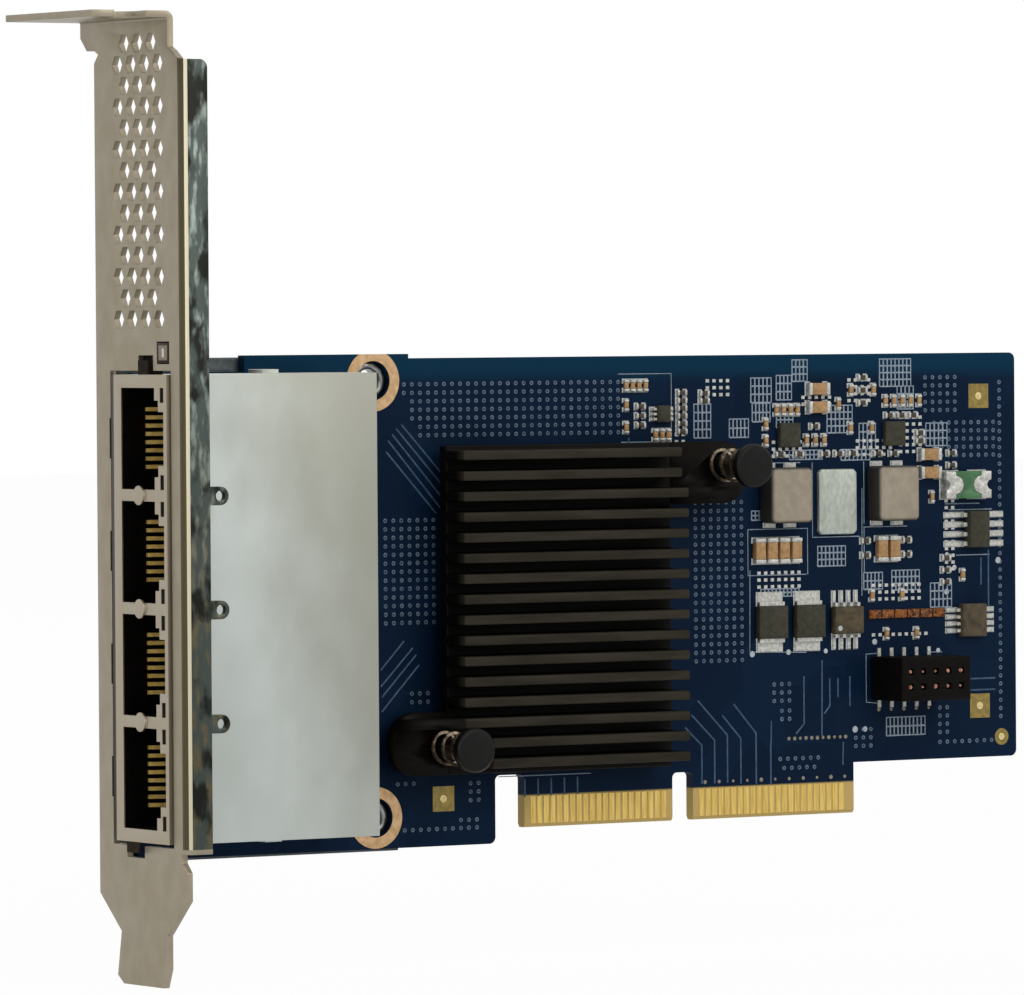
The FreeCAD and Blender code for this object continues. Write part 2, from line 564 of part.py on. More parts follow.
def cut_bracket(piece):
    """Cut the port opening with its notches, the light window, the vents and the slot."""
    low = dim.jack_middle - dim.jack_tall / 2 - dim.cutout_gap
    high = dim.jack_middle + dim.jack_tall / 2 + dim.cutout_gap
    near = -dim.jack_rise - dim.cutout_gap
    opening = piece.draw(SIDE)
    opening.outline([
        (near, low), (-dim.low_notch_near, low), (-dim.low_notch_near, low - dim.low_notch_deep),
        (-dim.low_notch_far, low - dim.low_notch_deep), (-dim.low_notch_far, low),
        (dim.cutout_far, low), (dim.cutout_far, high), (-dim.notch_far, high),
        (-dim.notch_far, high + dim.notch_deep), (-dim.notch_near, high + dim.notch_deep),
        (-dim.notch_near, high), (near, high)])
    piece.cut(opening, dim.sheet_thick, reverse=True)
    window = piece.draw(SIDE)
    window.rectangle(-dim.window_near, -dim.window_far, dim.window_low, dim.window_high)
    piece.cut(window, dim.sheet_thick, reverse=True)
    slot_end = dim.screw_notch_deep - dim.head_near
    slot = piece.draw(PLAN, dim.tab_top)
    slot.rectangle(-dim.screw_notch_at - dim.screw_notch / 2,
                   -dim.screw_notch_at + dim.screw_notch / 2, -dim.head_near,
                   slot_end - dim.screw_notch / 2)
    piece.cut(slot, dim.sheet_thick)
    slot_round = piece.draw(PLAN, dim.tab_top)
    slot_round.circle(-dim.screw_notch_at, slot_end - dim.screw_notch / 2, dim.screw_notch)
    piece.cut(slot_round, dim.sheet_thick)
    bottom = dim.vent_top - dim.vent_row * (dim.vent_pairs * 2 - 1)
    for columns, height in ((3, bottom + dim.vent_row), (4, bottom)):
        vents = piece.draw(SIDE)
        vent(vents, dim.vent_pitch * ((1 - columns) / 2) - dim.vent_centre, height)
        cut = piece.cut(vents, dim.sheet_thick, reverse=True)
        piece.row([cut], vents, "V_Axis", dim.vent_row * 2, dim.vent_pairs,
                  second=("H_Axis", dim.vent_pitch, columns))


def make_light_pipe():
    """A clear light pipe that fills the small window above the ports."""
    piece = Piece("status_light_pipe")
    near, far = dim.window_gap - dim.window_near, -dim.window_far - dim.window_gap
    low, high = dim.window_low + dim.window_gap, dim.window_high - dim.window_gap
    nose = piece.draw(SIDE)
    nose.rectangle(near, far, low, high)
    piece.pad(nose, dim.pipe_deep)
    lip = piece.draw(SIDE, dim.sheet_thick)
    lip.rectangle(near - dim.pipe_lip, far + dim.pipe_lip, low - dim.pipe_lip,
                  high + dim.pipe_lip)
    piece.pad(lip, dim.pipe_lip_thick)


# ---------------------------------------------------------------- the jack block
def draw_port(drawing, height):
    """One modular-jack opening: the plug space and the stepped latch slot beside it."""
    half, slot, step = dim.port_tall / 2, dim.latch_tall / 2, dim.latch_step_tall / 2
    ledge = -dim.port_near - dim.latch_step
    drawing.outline([
        (-dim.port_far, height - half), (-dim.port_far, height + half),
        (-dim.port_near, height + half), (-dim.port_near, height + step),
        (ledge, height + step), (ledge, height + slot), (-dim.latch_near, height + slot),
        (-dim.latch_near, height - slot), (ledge, height - slot), (ledge, height - step),
        (-dim.port_near, height - step), (-dim.port_near, height - half)])


def draw_lamps(drawing, height, margin=0.0):
    """The two lamp windows that flank a port's latch slot."""
    for side in (-1, 1):
        drawing.box(-dim.lamp_at, height + dim.lamp_offset * side, dim.lamp_width - margin,
                    dim.lamp_tall - margin)


def make_shield():
    """The folded metal can of the jack block, open towards the board."""
    piece = Piece("jack_shield")
    low, high = dim.jack_middle - dim.jack_tall / 2, dim.jack_middle + dim.jack_tall / 2
    wall = dim.shield_thick
    outer = piece.draw(SIDE, -dim.jack_front)
    outer.rectangle(-dim.jack_rise, 0, low, high)
    piece.pad(outer, dim.jack_back + dim.jack_front)
    inside = piece.draw(SIDE, wall - dim.jack_front)
    inside.rectangle(wall - dim.jack_rise, 0, low + wall, high - wall)
    piece.cut(inside, dim.jack_back + dim.jack_front - wall * 2, reverse=True)
    ports = piece.draw(SIDE, -dim.jack_front)
    draw_port(ports, port_centre())
    draw_lamps(ports, port_centre())
    cut = piece.cut(ports, wall, reverse=True)
    piece.row([cut], ports, "V_Axis", dim.port_pitch, PORTS)
    dimples = piece.draw(SIDE, -dim.jack_front)
    for count in range(1, PORTS):
        dimples.circle(-dim.dimple_at, port_centre(count) - dim.port_pitch / 2, dim.dimple_dia)
    piece.pad(dimples, dim.dimple_rise, reverse=True)
    nubs = piece.draw(FRONT, dim.dimple_at - dim.nub_depth / 2)
    nubs.box(dim.nub_at, high + dim.nub_rise / 2, dim.nub_width, dim.nub_rise)
    nubs.box(dim.nub_at, low - dim.nub_rise / 2, dim.nub_width, dim.nub_rise)
    piece.pad(nubs, dim.nub_depth)


def make_ground_fingers():
    """Spring fingers that bridge the gap between the shield and the bracket opening."""
    piece = Piece("ground_fingers")
    low, high = dim.jack_middle - dim.jack_tall / 2, dim.jack_middle + dim.jack_tall / 2
    margin = dim.finger_margin
    drawing = piece.draw(SIDE, -dim.jack_front)
    drawing.rectangle(margin - dim.notch_near, -dim.notch_far - margin, high,
                      high + dim.cutout_gap + dim.notch_deep - margin)
    drawing.rectangle(margin - dim.low_notch_near, -dim.low_notch_far - margin,
                      low - dim.cutout_gap - dim.low_notch_deep + margin, low)
    for count in range(PORTS):
        drawing.rectangle(0, dim.cutout_far - dim.cutout_gap,
                          port_centre(count) - dim.side_finger / 2,
                          port_centre(count) + dim.side_finger / 2)
    piece.pad(drawing, dim.finger_thick)


def make_housing():
    """The black insulator inside the shield with four port cavities and lamp recesses."""
    piece = Piece("jack_housing")
    skin = dim.shield_thick + dim.shell_clear
    front = skin - dim.jack_front
    half = dim.jack_tall / 2 - skin
    block = piece.draw(SIDE, front)
    block.rectangle(skin - dim.jack_rise, 0, dim.jack_middle - half, dim.jack_middle + half)
    piece.pad(block, dim.jack_back + dim.jack_front - skin * 2)
    ports = piece.draw(SIDE, front)
    draw_port(ports, port_centre())
    cavity = piece.cut(ports, dim.port_deep, reverse=True)
    lamps = piece.draw(SIDE, front)
    draw_lamps(lamps, port_centre())
    recess = piece.cut(lamps, dim.lamp_deep, reverse=True)
    piece.row([cavity, recess], lamps, "V_Axis", dim.port_pitch, PORTS)


def make_lenses():
    """Clear lamp lenses beside each latch slot, reaching into the shield's windows."""
    piece = Piece("port_lamp_lenses")
    drawing = piece.draw(SIDE, dim.shield_thick / 2 - dim.jack_front)
    draw_lamps(drawing, port_centre(), dim.lens_clear * 2)
    lens = piece.pad(drawing, dim.lamp_deep)
    piece.row([lens], drawing, "V_Axis", dim.port_pitch, PORTS)


def make_jack_contacts():
    """Eight gold wires in each port, rising from the far wall towards the rear."""
    piece = Piece("jack_contacts")
    first = port_centre() - dim.wire_pitch * ((WIRES - 1) / 2)
    drawing = piece.draw(PLAN, first - dim.wire_thick / 2)
    base = -dim.port_far - dim.wire_clear
    drawing.outline([
        (dim.wire_start, base), (dim.wire_start, base - dim.wire_thick),
        (dim.wire_end, base - dim.wire_thick - dim.wire_lift), (dim.wire_end, base - dim.wire_lift)])
    wire = piece.pad(drawing, dim.wire_thick)
    piece.row([wire], drawing, "N_Axis", dim.wire_pitch, WIRES,
              second=("N_Axis", dim.port_pitch, PORTS))


def make_jack_tails():
    """Solder tails of the jack block, through the board's plated holes."""
    piece = Piece("jack_solder_tails")
    drawing = piece.draw(FRONT)
    for across, up in tail_centres():
        drawing.box(across, up, dim.tail_size, dim.tail_size)
    tail = piece.pad(drawing, dim.board_thick + dim.tail_out, reverse=True)
    piece.row([tail], drawing, "V_Axis", dim.tail_up, TAILS,
              second=("V_Axis", dim.port_pitch, PORTS))


# ---------------------------------------------------------------- controller and cooling
def make_controller():
    """The controller: a ball-grid carrier with a smaller moulded cap."""
    piece = Piece("controller_package", dim.chip_x, dim.chip_z)
    base = piece.draw(FRONT)
    base.box(0, 0, dim.chip_size, dim.chip_size)
    piece.pad(base, dim.chip_base)
    cap = piece.draw(FRONT, dim.chip_base)
    cap.box(0, 0, dim.chip_cap, dim.chip_cap)
    piece.pad(cap, dim.chip_thick - dim.chip_base, draft=-dim.draft_angle)


def make_thermal_pad():
    """The soft pad between the controller and the heat sink."""
    piece = Piece("thermal_pad", dim.chip_x, dim.chip_z)
    drawing = piece.draw(FRONT, dim.chip_thick)
    drawing.box(0, 0, dim.chip_cap, dim.chip_cap)
    piece.pad(drawing, dim.pad_thick)


def long_fins():
    """Heights of the two fins that run on along the ears."""
    return (dim.fin_first + dim.fin_pitch * 2,
            dim.fin_first + dim.fin_pitch * (dim.fin_count - 3))


def bore_pin_holes(piece):
    """Holes for the two push pins, through the base of the heat sink."""
    holes = piece.draw(FRONT, dim.chip_thick + dim.pad_thick + dim.sink_base)
    holes.circle(dim.pin_low_x, dim.pin_low_z, dim.pin_shaft + dim.pin_clear * 2)
    holes.circle(dim.pin_high_x, dim.pin_high_z, dim.pin_shaft + dim.pin_clear * 2)
    piece.cut(holes, dim.sink_base)


def make_heat_sink():
    """The extruded heat sink: a base with straight fins, cut back near the two pins."""
    piece = Piece("heat_sink")
    foot = dim.chip_thick + dim.pad_thick + dim.sink_base
    base = piece.draw(FRONT, dim.chip_thick + dim.pad_thick)
    base.rectangle(dim.sink_left, dim.sink_right, dim.sink_low, dim.sink_high)
    piece.pad(base, dim.sink_base)
    fins = piece.draw(FRONT, foot)
    fins.box((dim.sink_left + dim.sink_right) / 2, dim.fin_first,
             dim.sink_right - dim.sink_left, dim.fin_thick)
    fin = piece.pad(fins, dim.fin_tall)
    piece.row([fin], fins, "V_Axis", dim.fin_pitch, dim.fin_count)
    low_fin, high_fin = long_fins()
    bays = piece.draw(FRONT, foot + dim.fin_tall)
    bays.rectangle(dim.sink_left, dim.sink_left + dim.pin_bay_low, dim.sink_low,
                   low_fin - dim.fin_thick / 2)
    bays.rectangle(dim.sink_right - dim.pin_bay_high, dim.sink_right,
                   high_fin + dim.fin_thick / 2, dim.sink_high)
    piece.cut(bays, dim.fin_tall)
    bore_pin_holes(piece)


def make_ears():
    """The two ears that carry the push pins, each with one fin running on along it."""
    piece = Piece("heat_sink_ears")
    ears = piece.draw(FRONT, dim.chip_thick + dim.pad_thick)
    ears.rectangle(dim.ear_left, dim.sink_left, dim.sink_low, dim.sink_low + dim.ear_tall)
    ears.rectangle(dim.sink_right, dim.ear_right, dim.sink_high - dim.ear_tall, dim.sink_high)
    piece.pad(ears, dim.sink_base)
    piece.dress("Fillet", dim.ear_corner, lambda spot: (
        dim.ear_left.is_near(spot.x) or dim.ear_right.is_near(spot.x)), depthwise=True)
    half = dim.fin_thick / 2
    low_fin, high_fin = long_fins()
    fins = piece.draw(FRONT, dim.chip_thick + dim.pad_thick + dim.sink_base)
    fins.rectangle(dim.ear_fin_left, dim.sink_left, low_fin - half, low_fin + half)
    fins.rectangle(dim.sink_right, dim.ear_fin_right, high_fin - half, high_fin + half)
    piece.pad(fins, dim.fin_tall)
    bore_pin_holes(piece)


def make_push_pin(label, x, z):
    """A sprung push pin: domed head, shaft, and a slit barb behind the board."""
    piece = Piece(label, x, z)
    shaft, head = dim.pin_shaft / 2, dim.pin_head / 2
    under_head = dim.pin_head_thick - dim.pin_stand
    barb = dim.board_thick + dim.barb_gap
    drawing = piece.draw(PLAN)
    drawing.outline([
        (0, -dim.pin_stand), (head - dim.pin_dome, -dim.pin_stand),
        (head, dim.pin_dome - dim.pin_stand), (head, under_head), (shaft, under_head),
        (shaft, barb), (shaft + dim.barb_out, barb),
        (shaft - dim.barb_out, barb + dim.barb_long), (0, barb + dim.barb_long)])
    piece.revolve(drawing)
    slit = piece.draw(FRONT, -barb)
    slit.box(0, 0, dim.barb_slit, dim.pin_shaft * 2)
    piece.cut(slit, dim.barb_long)


def make_pin_spring(label, x, z):
    """A compression spring between the heat sink's ear and the head of a push pin."""
    piece = Piece(label, x, z)
    low = dim.chip_thick + dim.pad_thick + dim.sink_base + dim.spring_gap
    high = dim.pin_stand - dim.pin_head_thick - dim.spring_gap
    travel = high - low - dim.spring_wire
    drawing = piece.draw(PLAN)
    drawing.polygon(dim.spring_dia / 2, -high + dim.spring_wire / 2, dim.spring_wire, 4)
    coil = piece.body.newObject("PartDesign::AdditiveHelix", f"{label}_coil")
    coil.Profile = drawing.finish()
    coil.ReferenceAxis = (drawing.sketch, ["V_Axis"])
    coil.Mode = 1
    coil.setExpression("Height", travel.text)
    coil.setExpression("Pitch", (travel / dim.spring_turns).text)
    coil.setExpression("Turns", dim.spring_turns.text)


# ---------------------------------------------------------------- two-terminal parts
def make_two_terminal(label, case, wide_rows, tall_rows):
    """Ceramic bodies and their metal end caps, one patterned pair of features a row."""
    length, width, height, end = (getattr(dim, f"{case}_{key}")
                                  for key in ("length", "width", "height", "end"))
    bodies, ends = Piece(f"{label}_bodies"), Piece(f"{label}_ends")
    core, waist = length - end * 2, width - dim.end_skin * 2
    reach = (length - end) / 2
    for rows, tall in ((wide_rows, False), (tall_rows, True)):
        for name, _, _, _, count, way in rows:
            x, z = getattr(dim, f"{name}_x"), getattr(dim, f"{name}_z")
            between, caps = bodies.draw(FRONT), ends.draw(FRONT)
            if tall:
                between.box(x, z, waist, core)
                caps.box(x, z - reach, width, end)
                caps.box(x, z + reach, width, end)
            else:
                between.box(x, z, core, waist)
                caps.box(x - reach, z, end, width)
                caps.box(x + reach, z, end, width)
            axis = "H_Axis" if way == "across" else "V_Axis"
            middle = bodies.pad(between, height - dim.end_skin)
            outside = ends.pad(caps, height)
            if count > 1:
                step = getattr(dim, f"{name}_step")
                bodies.row([middle], between, axis, step, count)
                ends.row([outside], caps, axis, step, count)


def make_fuse():
    """A resettable fuse with scalloped metal terminals that bulge over its body."""
    inner = dim.fuse_length / 2 - dim.fuse_end
    terminal_middle = dim.fuse_length / 2 - dim.fuse_end / 2
    body = Piece("fuse_body", dim.fuse_x, dim.fuse_z)
    slab = body.draw(FRONT)
    slab.box(0, 0, inner * 2, dim.fuse_width)
    body.pad(slab, dim.fuse_height)
    bites = body.draw(FRONT, dim.fuse_height)
    for side in (-1, 1):
        bites.circle(inner * side, 0, dim.fuse_bulge + dim.shell_clear * 2)
    body.cut(bites, dim.fuse_height)
    caps = Piece("fuse_terminals", dim.fuse_x, dim.fuse_z)
    blocks = caps.draw(FRONT)
    for side in (-1, 1):
        blocks.box(terminal_middle * side, 0, dim.fuse_end, dim.fuse_width)
    caps.pad(blocks, dim.fuse_height)
    bulges = caps.draw(FRONT)
    for side in (-1, 1):
        bulges.circle(inner * side, 0, dim.fuse_bulge)
    caps.pad(bulges, dim.fuse_height)
    scallops = caps.draw(FRONT, dim.fuse_height)
    for side in (-1, 1):
        scallops.circle(dim.fuse_length / 2 * side, 0, dim.fuse_bite)
    caps.cut(scallops, dim.fuse_height)


# ---------------------------------------------------------------- inductors and can
def make_inductor(label, x):
    """A moulded power inductor with rounded upright corners and a softened top."""
    piece = Piece(label, x, dim.coil_z)
    drawing = piece.draw(FRONT, dim.coil_foot_thick)
    drawing.box(0, 0, dim.coil_width, dim.coil_tall)
    piece.pad(drawing, dim.coil_height - dim.coil_foot_thick)
    front = -dim.coil_height
    piece.dress("Fillet", dim.coil_corner, lambda spot: True, depthwise=True)
    piece.dress("Chamfer", dim.coil_edge, lambda spot: front.is_near(spot.y))


def make_inductor_feet():
    """Flat terminals under both inductors, showing beyond their upper and lower ends."""
    piece = Piece("inductor_terminals", 0, dim.coil_z)
    drawing = piece.draw(FRONT)
    for x in (dim.coil_left_x, dim.coil_right_x):
        for side in (-1, 1):
            for row in (-1, 1):
                edge = (dim.coil_tall / 2 + dim.coil_foot_out) * row
                across = x + dim.coil_width * side / 4
                drawing.rectangle(across - dim.coil_foot / 2, across + dim.coil_foot / 2,
                                  edge, edge - dim.coil_foot * row)
    piece.pad(drawing, dim.coil_foot_thick)


def make_can():
    """A low pale shielding can between the inductors, its corners cut."""
    piece = Piece("shield_can", dim.can_x, dim.can_z)
    drawing = piece.draw(FRONT)
    wide, tall, corner = dim.can_width / 2, dim.can_tall / 2, dim.can_corner
    drawing.outline([
        (corner - wide, -tall), (wide - corner, -tall), (wide, corner - tall),
        (wide, tall - corner), (wide - corner, tall), (corner - wide, tall),
        (-wide, tall - corner), (-wide, corner - tall)])
    piece.pad(drawing, dim.can_height, draft=-dim.draft_angle)


# ---------------------------------------------------------------- leaded packages
def make_package(name, ways, upright, copies=1, step=None):
    """A moulded package and its gull-wing leads: leads leave along Z when upright."""
    wide, length, height, span, lead = (getattr(dim, f"{name}_{key}") for key in
                                        ("wide", "long", "height", "span", "lead"))
    x, z = getattr(dim, f"{name}_x"), getattr(dim, f"{name}_z")
    pitch = getattr(dim, f"{name}_pitch", lead)
    middle = dim.standoff + height / 2
    body = Piece(f"{name}_bodies" if copies > 1 else f"{name}_body", x, z)
    halves = []
    for down in (False, True):
        outline = body.draw(FRONT, middle)
        outline.box(0, 0, length if upright else wide, wide if upright else length)
        halves.append(body.pad(outline, height / 2, reverse=down, draft=-dim.draft_angle))
    leads = Piece(f"{name}_leads", x, z)
    profile = leads.draw(SIDE if upright else PLAN, pitch * ((1 - ways) / 2) - lead / 2)
    side, knee, toe = wide / 2, wide / 2 + dim.lead_knee, span / 2
    thick = dim.lead_thick
    bend = [(side, middle - thick / 2), (side, middle + thick / 2),
            (knee + thick, middle + thick / 2), (knee + thick, thick), (toe, thick), (toe, 0),
            (knee, 0), (knee, middle - thick / 2)]
    if upright:
        profile.outline([(-Size.of(rise), out) for out, rise in bend])
    else:
        profile.outline([(out, -Size.of(rise)) for out, rise in bend])
    one = leads.pad(profile, lead)
    if ways > 1:
        leads.row([one], profile, "N_Axis", pitch, ways)
    other = leads.draw(SIDE if upright else PLAN, pitch * ((1 - ways) / 2) - lead / 2)
    if upright:
        other.outline([(-Size.of(rise), -out) for out, rise in bend])
    else:
        other.outline([(-out, -Size.of(rise)) for out, rise in bend])
    two = leads.pad(other, lead)
    if ways > 1:
        leads.row([two], other, "N_Axis", pitch, ways)
    if copies > 1:
        body.row(halves, outline, "H_Axis", step, copies)
        leads.row([one, two], other, "N_Axis", step, copies)


def make_regulators():
    """Two leadless regulators with a chamfered rim."""
    piece = Piece("regulator_bodies", dim.regulator_x, dim.regulator_z)
    drawing = piece.draw(FRONT)
    half = dim.regulator_size / 2
    for x in (Size.of(0), dim.regulator_step):
        drawing.rectangle(x - half, x + half, -half, half)
    piece.pad(drawing, dim.regulator_height)
    front = -dim.regulator_height
    piece.dress("Chamfer", dim.regulator_edge, lambda spot: front.is_near(spot.y))


def make_arrays():
    """A row of small resistor arrays between the driver and the monitor."""
    piece = Piece("array_bodies", dim.array_x, dim.array_z)
    drawing = piece.draw(FRONT)
    drawing.box(0, 0, dim.array_long, dim.array_wide)
    one = piece.pad(drawing, dim.array_height, draft=-dim.draft_angle)
    piece.row([one], drawing, "H_Axis", dim.array_step, dim.array_count)


# ---------------------------------------------------------------- header and marks
def make_header():
    """A two-row socket header raised off the board on its surface-mount tails."""
    body = Piece("header_body", dim.header_x, dim.header_z)
    block = body.draw(FRONT, dim.header_gap)
    block.box(0, 0, dim.header_long, dim.header_wide)
    body.pad(block, dim.header_tall - dim.header_gap)
    first = dim.header_pitch * ((1 - dim.header_ways) / 2)
    holes = body.draw(FRONT, dim.header_tall)
    for side in (-1, 1):
        holes.box(first, dim.header_pitch * side / 2, dim.header_hole, dim.header_hole)
    cut = body.cut(holes, dim.header_hole_deep)
    body.row([cut], holes, "H_Axis", dim.header_pitch, dim.header_ways)
    pins = Piece("header_pins", dim.header_x, dim.header_z)
    thick, toe = dim.lead_thick, dim.header_span / 2
    feet = []
    for side in (-1, 1):
        profile = pins.draw(SIDE, first - dim.header_pin / 2)
        stem = dim.header_pitch * side / 2
        profile.outline([(0, stem), (0, toe * side), (-thick, toe * side),
                         (-thick, stem + thick * side), (-dim.header_gap, stem + thick * side),
                         (-dim.header_gap, stem)])
        feet.append(pins.pad(profile, dim.header_pin))
    pins.row(feet, profile, "N_Axis", dim.header_pitch, dim.header_ways)


def make_marks():
    """Square alignment marks and the plated ring of the tooling hole."""
    piece = Piece("copper_marks")
    drawing = piece.draw(FRONT)
    drawing.box(dim.mark_right_x, dim.mark_high_z, dim.mark_size, dim.mark_size)
    drawing.box(dim.mark_right_x, dim.mark_low_z, dim.mark_size, dim.mark_size)
    drawing.box(dim.mark_left_x, dim.mark_left_z, dim.mark_size, dim.mark_size)
    drawing.circle(dim.tooling_x, dim.tooling_z, dim.tooling_land)
    drawing.circle(dim.tooling_x, dim.tooling_z, dim.tooling_hole)
    piece.pad(drawing, dim.mark_thick)


def export_pieces():
    """Check every object of the document, then write one STEP file a piece."""
    document.recompute()
    for item in document.Objects:
        if "Invalid" in item.State or "Error" in item.State:
            raise RuntimeError(f"{item.Name} did not recompute")
    for item in pieces:
        if item.Shape.isNull() or not item.Shape.isValid() or not item.Shape.Solids:
            raise RuntimeError(f"{item.Label} has no valid solid")
    os.makedirs("parts", exist_ok=True)
    for item in pieces:
        item.Shape.exportStep(f"parts/{item.Label}.step")
        print(item.Label, len(item.Shape.Solids), round(item.Shape.Volume, 2))


dim = write_sheet()
make_board()
make_contacts("edge_contacts_front", back=False)
make_contacts("edge_contacts_back", back=True)
make_lands()
make_bushes()
make_bracket()
make_arms()
make_light_pipe()
make_shield()
make_ground_fingers()
make_housing()
make_lenses()
make_jack_contacts()
make_jack_tails()
make_controller()
make_thermal_pad()
make_heat_sink()
make_ears()
make_push_pin("push_pin_lower", dim.pin_low_x, dim.pin_low_z)
make_push_pin("push_pin_upper", dim.pin_high_x, dim.pin_high_z)
make_pin_spring("pin_spring_lower", dim.pin_low_x, dim.pin_low_z)
make_pin_spring("pin_spring_upper", dim.pin_high_x, dim.pin_high_z)
make_two_terminal("large_capacitor", "large", LARGE_WIDE, LARGE_TALL)
make_two_terminal("resistor", "small", SMALL_WIDE, [])
make_two_terminal("small_capacitor", "small", [], SMALL_TALL)
make_fuse()
make_inductor("inductor_left", dim.coil_left_x)
make_inductor("inductor_right", dim.coil_right_x)
make_inductor_feet()
make_can()
make_package("memory", 4, upright=False)
make_package("switch", 1, upright=True, copies=2, step=dim.switch_step)
make_package("driver", 4, upright=True)
make_package("monitor", 4, upright=False)
make_package("logic", 3, upright=False)
make_regulators()
make_arrays()
make_header()
make_marks()
export_pieces()
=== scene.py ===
import logging
import math
from dataclasses import dataclass, field
from enum import Enum
from functools import lru_cache
from typing import Any, ClassVar, Iterable, Iterator, Optional, Union

import bmesh
import bpy
from mathutils import Matrix, Vector


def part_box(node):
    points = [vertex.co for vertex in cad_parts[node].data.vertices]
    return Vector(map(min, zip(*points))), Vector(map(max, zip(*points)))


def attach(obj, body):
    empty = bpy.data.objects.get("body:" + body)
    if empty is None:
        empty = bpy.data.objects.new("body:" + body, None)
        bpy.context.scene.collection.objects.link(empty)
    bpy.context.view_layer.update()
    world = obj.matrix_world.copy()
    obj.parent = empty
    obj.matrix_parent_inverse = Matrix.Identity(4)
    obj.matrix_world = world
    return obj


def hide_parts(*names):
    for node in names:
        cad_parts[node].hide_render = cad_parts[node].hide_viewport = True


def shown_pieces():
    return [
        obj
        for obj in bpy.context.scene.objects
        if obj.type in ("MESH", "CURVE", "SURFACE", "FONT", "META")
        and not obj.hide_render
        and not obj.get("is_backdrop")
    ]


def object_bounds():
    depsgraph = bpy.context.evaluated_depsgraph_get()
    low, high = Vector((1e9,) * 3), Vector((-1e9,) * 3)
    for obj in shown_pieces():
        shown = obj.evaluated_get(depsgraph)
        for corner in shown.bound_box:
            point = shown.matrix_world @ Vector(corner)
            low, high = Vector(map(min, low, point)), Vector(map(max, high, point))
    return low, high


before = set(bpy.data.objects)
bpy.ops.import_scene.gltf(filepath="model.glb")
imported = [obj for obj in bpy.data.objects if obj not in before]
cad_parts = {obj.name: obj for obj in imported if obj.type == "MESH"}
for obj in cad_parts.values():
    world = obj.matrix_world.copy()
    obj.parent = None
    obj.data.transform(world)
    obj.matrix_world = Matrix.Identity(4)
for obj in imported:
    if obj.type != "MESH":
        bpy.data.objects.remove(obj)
CAD_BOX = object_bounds()

LOG = logging.getLogger("network_adapter")
MM = 0.001
BODY = "root"
CAD_DOUBLES = 1e-6
LAID_DOUBLES = 1e-7
SLIVER = 1e-5
FLAT_DEGREES = 0.5
SHARP_DEGREES = 38
FORWARD = (math.pi / 2, 0.0, 0.0)

Colour = tuple[float, float, float]
Spot = tuple[float, float]
Span = tuple[float, float]
SocketKey = Union[int, str]


def linear(colour: Colour) -> tuple[float, float, float, float]:
    """Turn a display colour into the linear one that shaders use.

    Args:
        colour: Red, green and blue from 0 to 255, as they look on a screen.

    Returns:
        The opaque linear colour.
    """
    parts = [part / 255 for part in colour]
    bent = [part / 12.92 if part <= 0.04045 else ((part + 0.055) / 1.055) ** 2.4
            for part in parts]
    return (bent[0], bent[1], bent[2], 1.0)


# ------------------------------------------------------------------ shader arithmetic
class Wire:
    """A shader output that takes part in Python expressions."""

    def __init__(self, graph: "Graph", socket: Optional[bpy.types.NodeSocket]) -> None:
        """Keep the graph and the output that the wire stands for."""
        self.graph = graph
        self.socket = socket

    def _math(self, operation: str, first: "Level", second: "Level") -> "Wire":
        """Add a Math node on two values."""
        return self.graph.node("ShaderNodeMath", {"operation": operation},
                               {0: first, 1: second})

    def __add__(self, other: "Level") -> "Wire":
        """Sum of two values."""
        return self._math("ADD", self, other)

    def __sub__(self, other: "Level") -> "Wire":
        """Difference of two values."""
        return self._math("SUBTRACT", self, other)

    def __mul__(self, other: "Level") -> "Wire":
        """Product of two values."""
        return self._math("MULTIPLY", self, other)

    def __truediv__(self, other: "Level") -> "Wire":
        """Quotient of two values."""
        return self._math("DIVIDE", self, other)

    def __rsub__(self, other: "Level") -> "Wire":
        """A number less this value."""
        return self._math("SUBTRACT", other, self)

    def __abs__(self) -> "Wire":
        """Size of the value without its sign."""
        return self.graph.node("ShaderNodeMath", {"operation": "ABSOLUTE"}, {0: self})

    __radd__ = __add__
    __rmul__ = __mul__

    def above(self, edge: float, soft: float) -> "Wire":
        """Mask that rises smoothly from 0 to 1 around an edge.

        Args:
            edge: Value at which the mask is one half.
            soft: Width of the rise.

        Returns:
            The mask.
        """
        return self.graph.node(
            "ShaderNodeMapRange", {"interpolation_type": "SMOOTHSTEP"},
            {"Value": self, "From Min": edge - soft / 2, "From Max": edge + soft / 2})


Level = Union[Wire, float, int, tuple]
Tone = Union[Wire, Colour]


def new_node(tree: bpy.types.NodeTree, kind: str, settings: Optional[dict[str, Any]],
             inputs: Optional[dict[SocketKey, Any]]) -> bpy.types.Node:
    """Add a node: its settings first, then the values or links of its inputs.

    Args:
        tree: The tree that takes the node.
        kind: The node's type.
        settings: Properties by name.
        inputs: Values, sockets or wires by input name or number.

    Returns:
        The node.
    """
    made = tree.nodes.new(kind)
    for key, value in (settings or {}).items():
        setattr(made, key, value)
    for key, value in (inputs or {}).items():
        source = value.socket if isinstance(value, Wire) else value
        if isinstance(source, bpy.types.NodeSocket):
            tree.links.new(source, made.inputs[key])
        else:
            made.inputs[key].default_value = source
    return made


